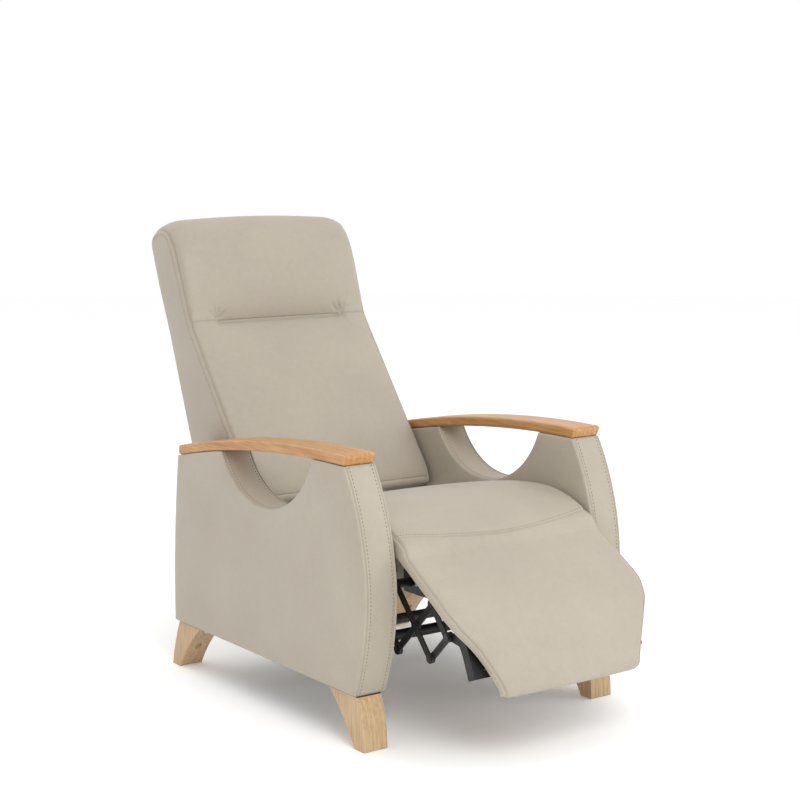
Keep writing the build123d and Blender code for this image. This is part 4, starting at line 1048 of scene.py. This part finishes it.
# %% Stitch tree
def make_stitch_tree():
    tree = bpy.data.node_groups.new("stitch_row", "GeometryNodeTree")
    face = tree.interface
    face.new_socket("Geometry", in_out="INPUT", socket_type="NodeSocketGeometry")
    for name, value in (("Pitch", 0.0045), ("Thread length", 0.003), ("Thread radius", 0.0004)):
        face.new_socket(name, in_out="INPUT", socket_type="NodeSocketFloat").default_value = value
    face.new_socket("Thread", in_out="INPUT", socket_type="NodeSocketMaterial")
    face.new_socket("Geometry", in_out="OUTPUT", socket_type="NodeSocketGeometry")

    def add(kind, inputs=(), **properties):
        return tree_node(tree, kind, inputs, **properties)

    given = add("NodeGroupInput").outputs
    spaced = add("GeometryNodeResampleCurve", {"Curve": given["Geometry"], "Length": given["Pitch"]}, mode="LENGTH")
    spots = add("GeometryNodeCurveToPoints", {"Curve": spaced.outputs["Curve"]}, mode="EVALUATED")
    ball = add("GeometryNodeMeshIcoSphere", {"Radius": 1.0, "Subdivisions": 1})
    half = add("ShaderNodeMath", {0: given["Thread length"], 1: 0.5}, operation="MULTIPLY")
    size = add("ShaderNodeCombineXYZ", {"X": given["Thread radius"], "Y": given["Thread radius"], "Z": half.outputs[0]})
    thread_mesh = add("GeometryNodeTransform", {"Geometry": ball.outputs["Mesh"], "Scale": size.outputs["Vector"]})
    rows = add("GeometryNodeInstanceOnPoints", {
        "Points": spots.outputs["Points"],
        "Instance": thread_mesh.outputs["Geometry"],
        "Rotation": spots.outputs["Rotation"],
    })
    real = add("GeometryNodeRealizeInstances", {"Geometry": rows.outputs["Instances"]})
    dressed = add("GeometryNodeSetMaterial", {"Geometry": real.outputs["Geometry"], "Material": given["Thread"]})
    add("NodeGroupOutput", {"Geometry": dressed.outputs["Geometry"]})
    return tree


THREAD_FACES = 20
stitch_tree = make_stitch_tree()
SOCKETS = {item.name: item.identifier for item in stitch_tree.interface.items_tree if item.in_out == "INPUT"}


def stitch_rows(name, lines, pitch, length, radius):
    """One mesh with a row of stitches along each line of points."""
    curve = bpy.data.curves.new(name, "CURVE")
    curve.dimensions = "3D"
    for line in lines:
        spline = curve.splines.new("POLY")
        spline.points.add(len(line) - 1)
        spline.points.foreach_set("co", np.column_stack([line, np.ones(len(line))]).ravel())
    rows = bpy.data.objects.new(name, curve)
    scene.collection.objects.link(rows)
    modifier = rows.modifiers.new("stitches", "NODES")
    modifier.node_group = stitch_tree
    for socket, value in (("Pitch", pitch), ("Thread length", length), ("Thread radius", radius), ("Thread", thread)):
        modifier[SOCKETS[socket]] = value
    mesh = result_mesh(rows)
    bpy.data.objects.remove(rows)
    made = new_object(name, mesh, thread)
    print(name, "threads", len(mesh.polygons) // THREAD_FACES)
    return made


# %% Rows of stitches
ABOVE_LEATHER, ABOVE_BAND = 0.0002, 0.00012
FROM_SEAM, BACK_FROM_EDGE = 0.0085, 0.0105
STITCH_UNDERSIDE = 0.124


def arm_rows(hand, way):
    """Rows on the band, beside the seam at each face, except under the cap and below."""
    _, outline, corners = arms[hand]
    cap = surface_of(nodes[f"arm_cap_{hand}"].data)
    middle = way * (arm_near + arm_far) / 2
    free = [cap.find_nearest(Vector((middle, y, z)))[3] > 0.004 and z > STITCH_UNDERSIDE for y, z in outline]
    runs, run = [], []
    start = next(i for i in range(len(outline)) if not free[i])
    for k in range(len(outline) + 1):
        i = (start + k) % len(outline)
        if free[i]:
            run.append(i)
        elif run:
            runs.append(run)
            run = []
    raised = inset_loop(outline, corners, -0.001)
    rows = []
    for across in (ROUND + FROM_SEAM, arm_far - arm_near - ROUND - FROM_SEAM):
        from_side = min(across, arm_far - arm_near - across)
        share = math.sin(math.pi / 2 * min(1, (from_side - CROWN_FROM) / 0.034)) ** CROWN_POWER
        for run in runs:
            ring = outline[run] + (raised[run] - outline[run]) * (BAND_CROWN * share + ABOVE_BAND) / 0.001
            rows.append(np.column_stack([np.full(len(run), way * (arm_far - across)), ring]))
    return rows


stitched = []
for hand, way in HANDS.items():
    stitched.append((stitch_rows(f"arm_stitches_{hand}", arm_rows(hand, way), 0.0084, 0.0044, 0.00085), "base"))

beside = inset_loop(back_outline, back_corners, BACK_FROM_EDGE)
up, out = from_back(beside)
rows = []
for way in (-1, 1):
    walk = np.nonzero((out > 0.02) & (up > -0.03))[0]
    spots = np.column_stack([np.full(len(walk), way * 0.3), beside[walk]])
    laid, _ = dropped(back_leather, spots, np.tile((-way, 0, 0), (len(walk), 1)))
    rows.append(laid + (way * ABOVE_LEATHER, 0, 0))
stitched.append((stitch_rows("back_stitches", rows, 0.0074, 0.0044, 0.0007), "back"))

beside = knee_line + np.array([0, 0.0052, 0.0033])
beside, _ = dropped(seat_leather, beside + knee_normals * 0.02, -knee_normals, 0.05)
laid = beside[1:-1] + knee_normals[1:-1] * ABOVE_LEATHER
knee_stitches = stitch_rows("knee_stitches", [laid], 0.0066, 0.0038, 0.0006)

# %% [markdown]
# ## What each piece rides on
# Each piece moves with a body of the model, except the seat's case and the knee's stitches, which span the knee and
# stay where they are made.

# %% Riding
for hand in HANDS:
    piece = arms[hand][0]
    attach(piece, "base")
    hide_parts(f"arm_cover_{hand}")
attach(back_leather, "back")
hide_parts("back_cover", "back_cushion", "head_cushion")
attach(rear_panel_leather, "base")
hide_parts("rear_panel")
for piece in (seat_leather, knee_stitches):
    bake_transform(piece)
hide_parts("seat_cushion", "footrest_pad")
for piece, body in stitched:
    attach(piece, body)


# %% [markdown]
# ## Floor and lamps
# The floor is part of the stage, not of the chair, so it is left out of the chair's sizes. It glows faintly, because a
# plain white floor turns grey towards the horizon and would draw a line behind the chair.

# %% Floor and lamps
def make_floor():
    count, radius, depth = 96, 12, -0.0005
    turns = [2 * math.pi * i / count for i in range(count)]
    points = [(radius * math.cos(turn), radius * math.sin(turn), depth) for turn in turns]
    mesh = bpy.data.meshes.new("floor")
    mesh.from_pydata(points, [], [tuple(range(count))])
    floor = bpy.data.objects.new("floor", mesh)
    scene.collection.objects.link(floor)
    material, tree, shader, coords = start_material("floor_pale", 1.0, specular=0.0)
    shader.inputs["Emission Color"].default_value = (1, 1, 1, 1)
    shader.inputs["Emission Strength"].default_value = 0.12
    cloud = noise(tree, coords, 2.0, 2.0)
    tree.links.new(ramp(tree, cloud, (0.3, 0.985), (0.7, 0.99)), shader.inputs["Base Color"])
    mesh.materials.append(material)


def lamp(name, place, target, size, power):
    data = bpy.data.lights.new(name, "AREA")
    data.shape = "DISK"
    data.size = size
    data.energy = power
    made = bpy.data.objects.new(name, data)
    scene.collection.objects.link(made)
    made.location = place
    made.rotation_euler = (Vector(target) - Vector(place)).to_track_quat("-Z", "Y").to_euler()


make_floor()
world = bpy.data.worlds.new("studio")
world.use_nodes = True
sky = world.node_tree
direction = shader_node(sky, "TexCoord").outputs["Generated"]
towards_room = {0: direction, 1: (-0.585, -0.81, 0.0)}
room_side = shader_node(sky, "VectorMath", towards_room, operation="DOT_PRODUCT").outputs["Value"]
sky.links.new(ramp(sky, room_side, (0.08, 1.0), (0.75, 0.5)), sky.nodes["Background"].inputs["Color"])
sky.nodes["Background"].inputs["Strength"].default_value = 1.0
scene.world = world
lamp("key", (-1.2, -3.6, 3.4), (0, -0.1, 0.5), 2.6, 100)
lamp("fill", (3.4, -2.4, 2.0), (0, 0, 0.5), 2.4, 22)
lamp("back", (-0.8, 3.4, 3.2), (0, 0, 0.6), 2.4, 16)
print("stage ready")
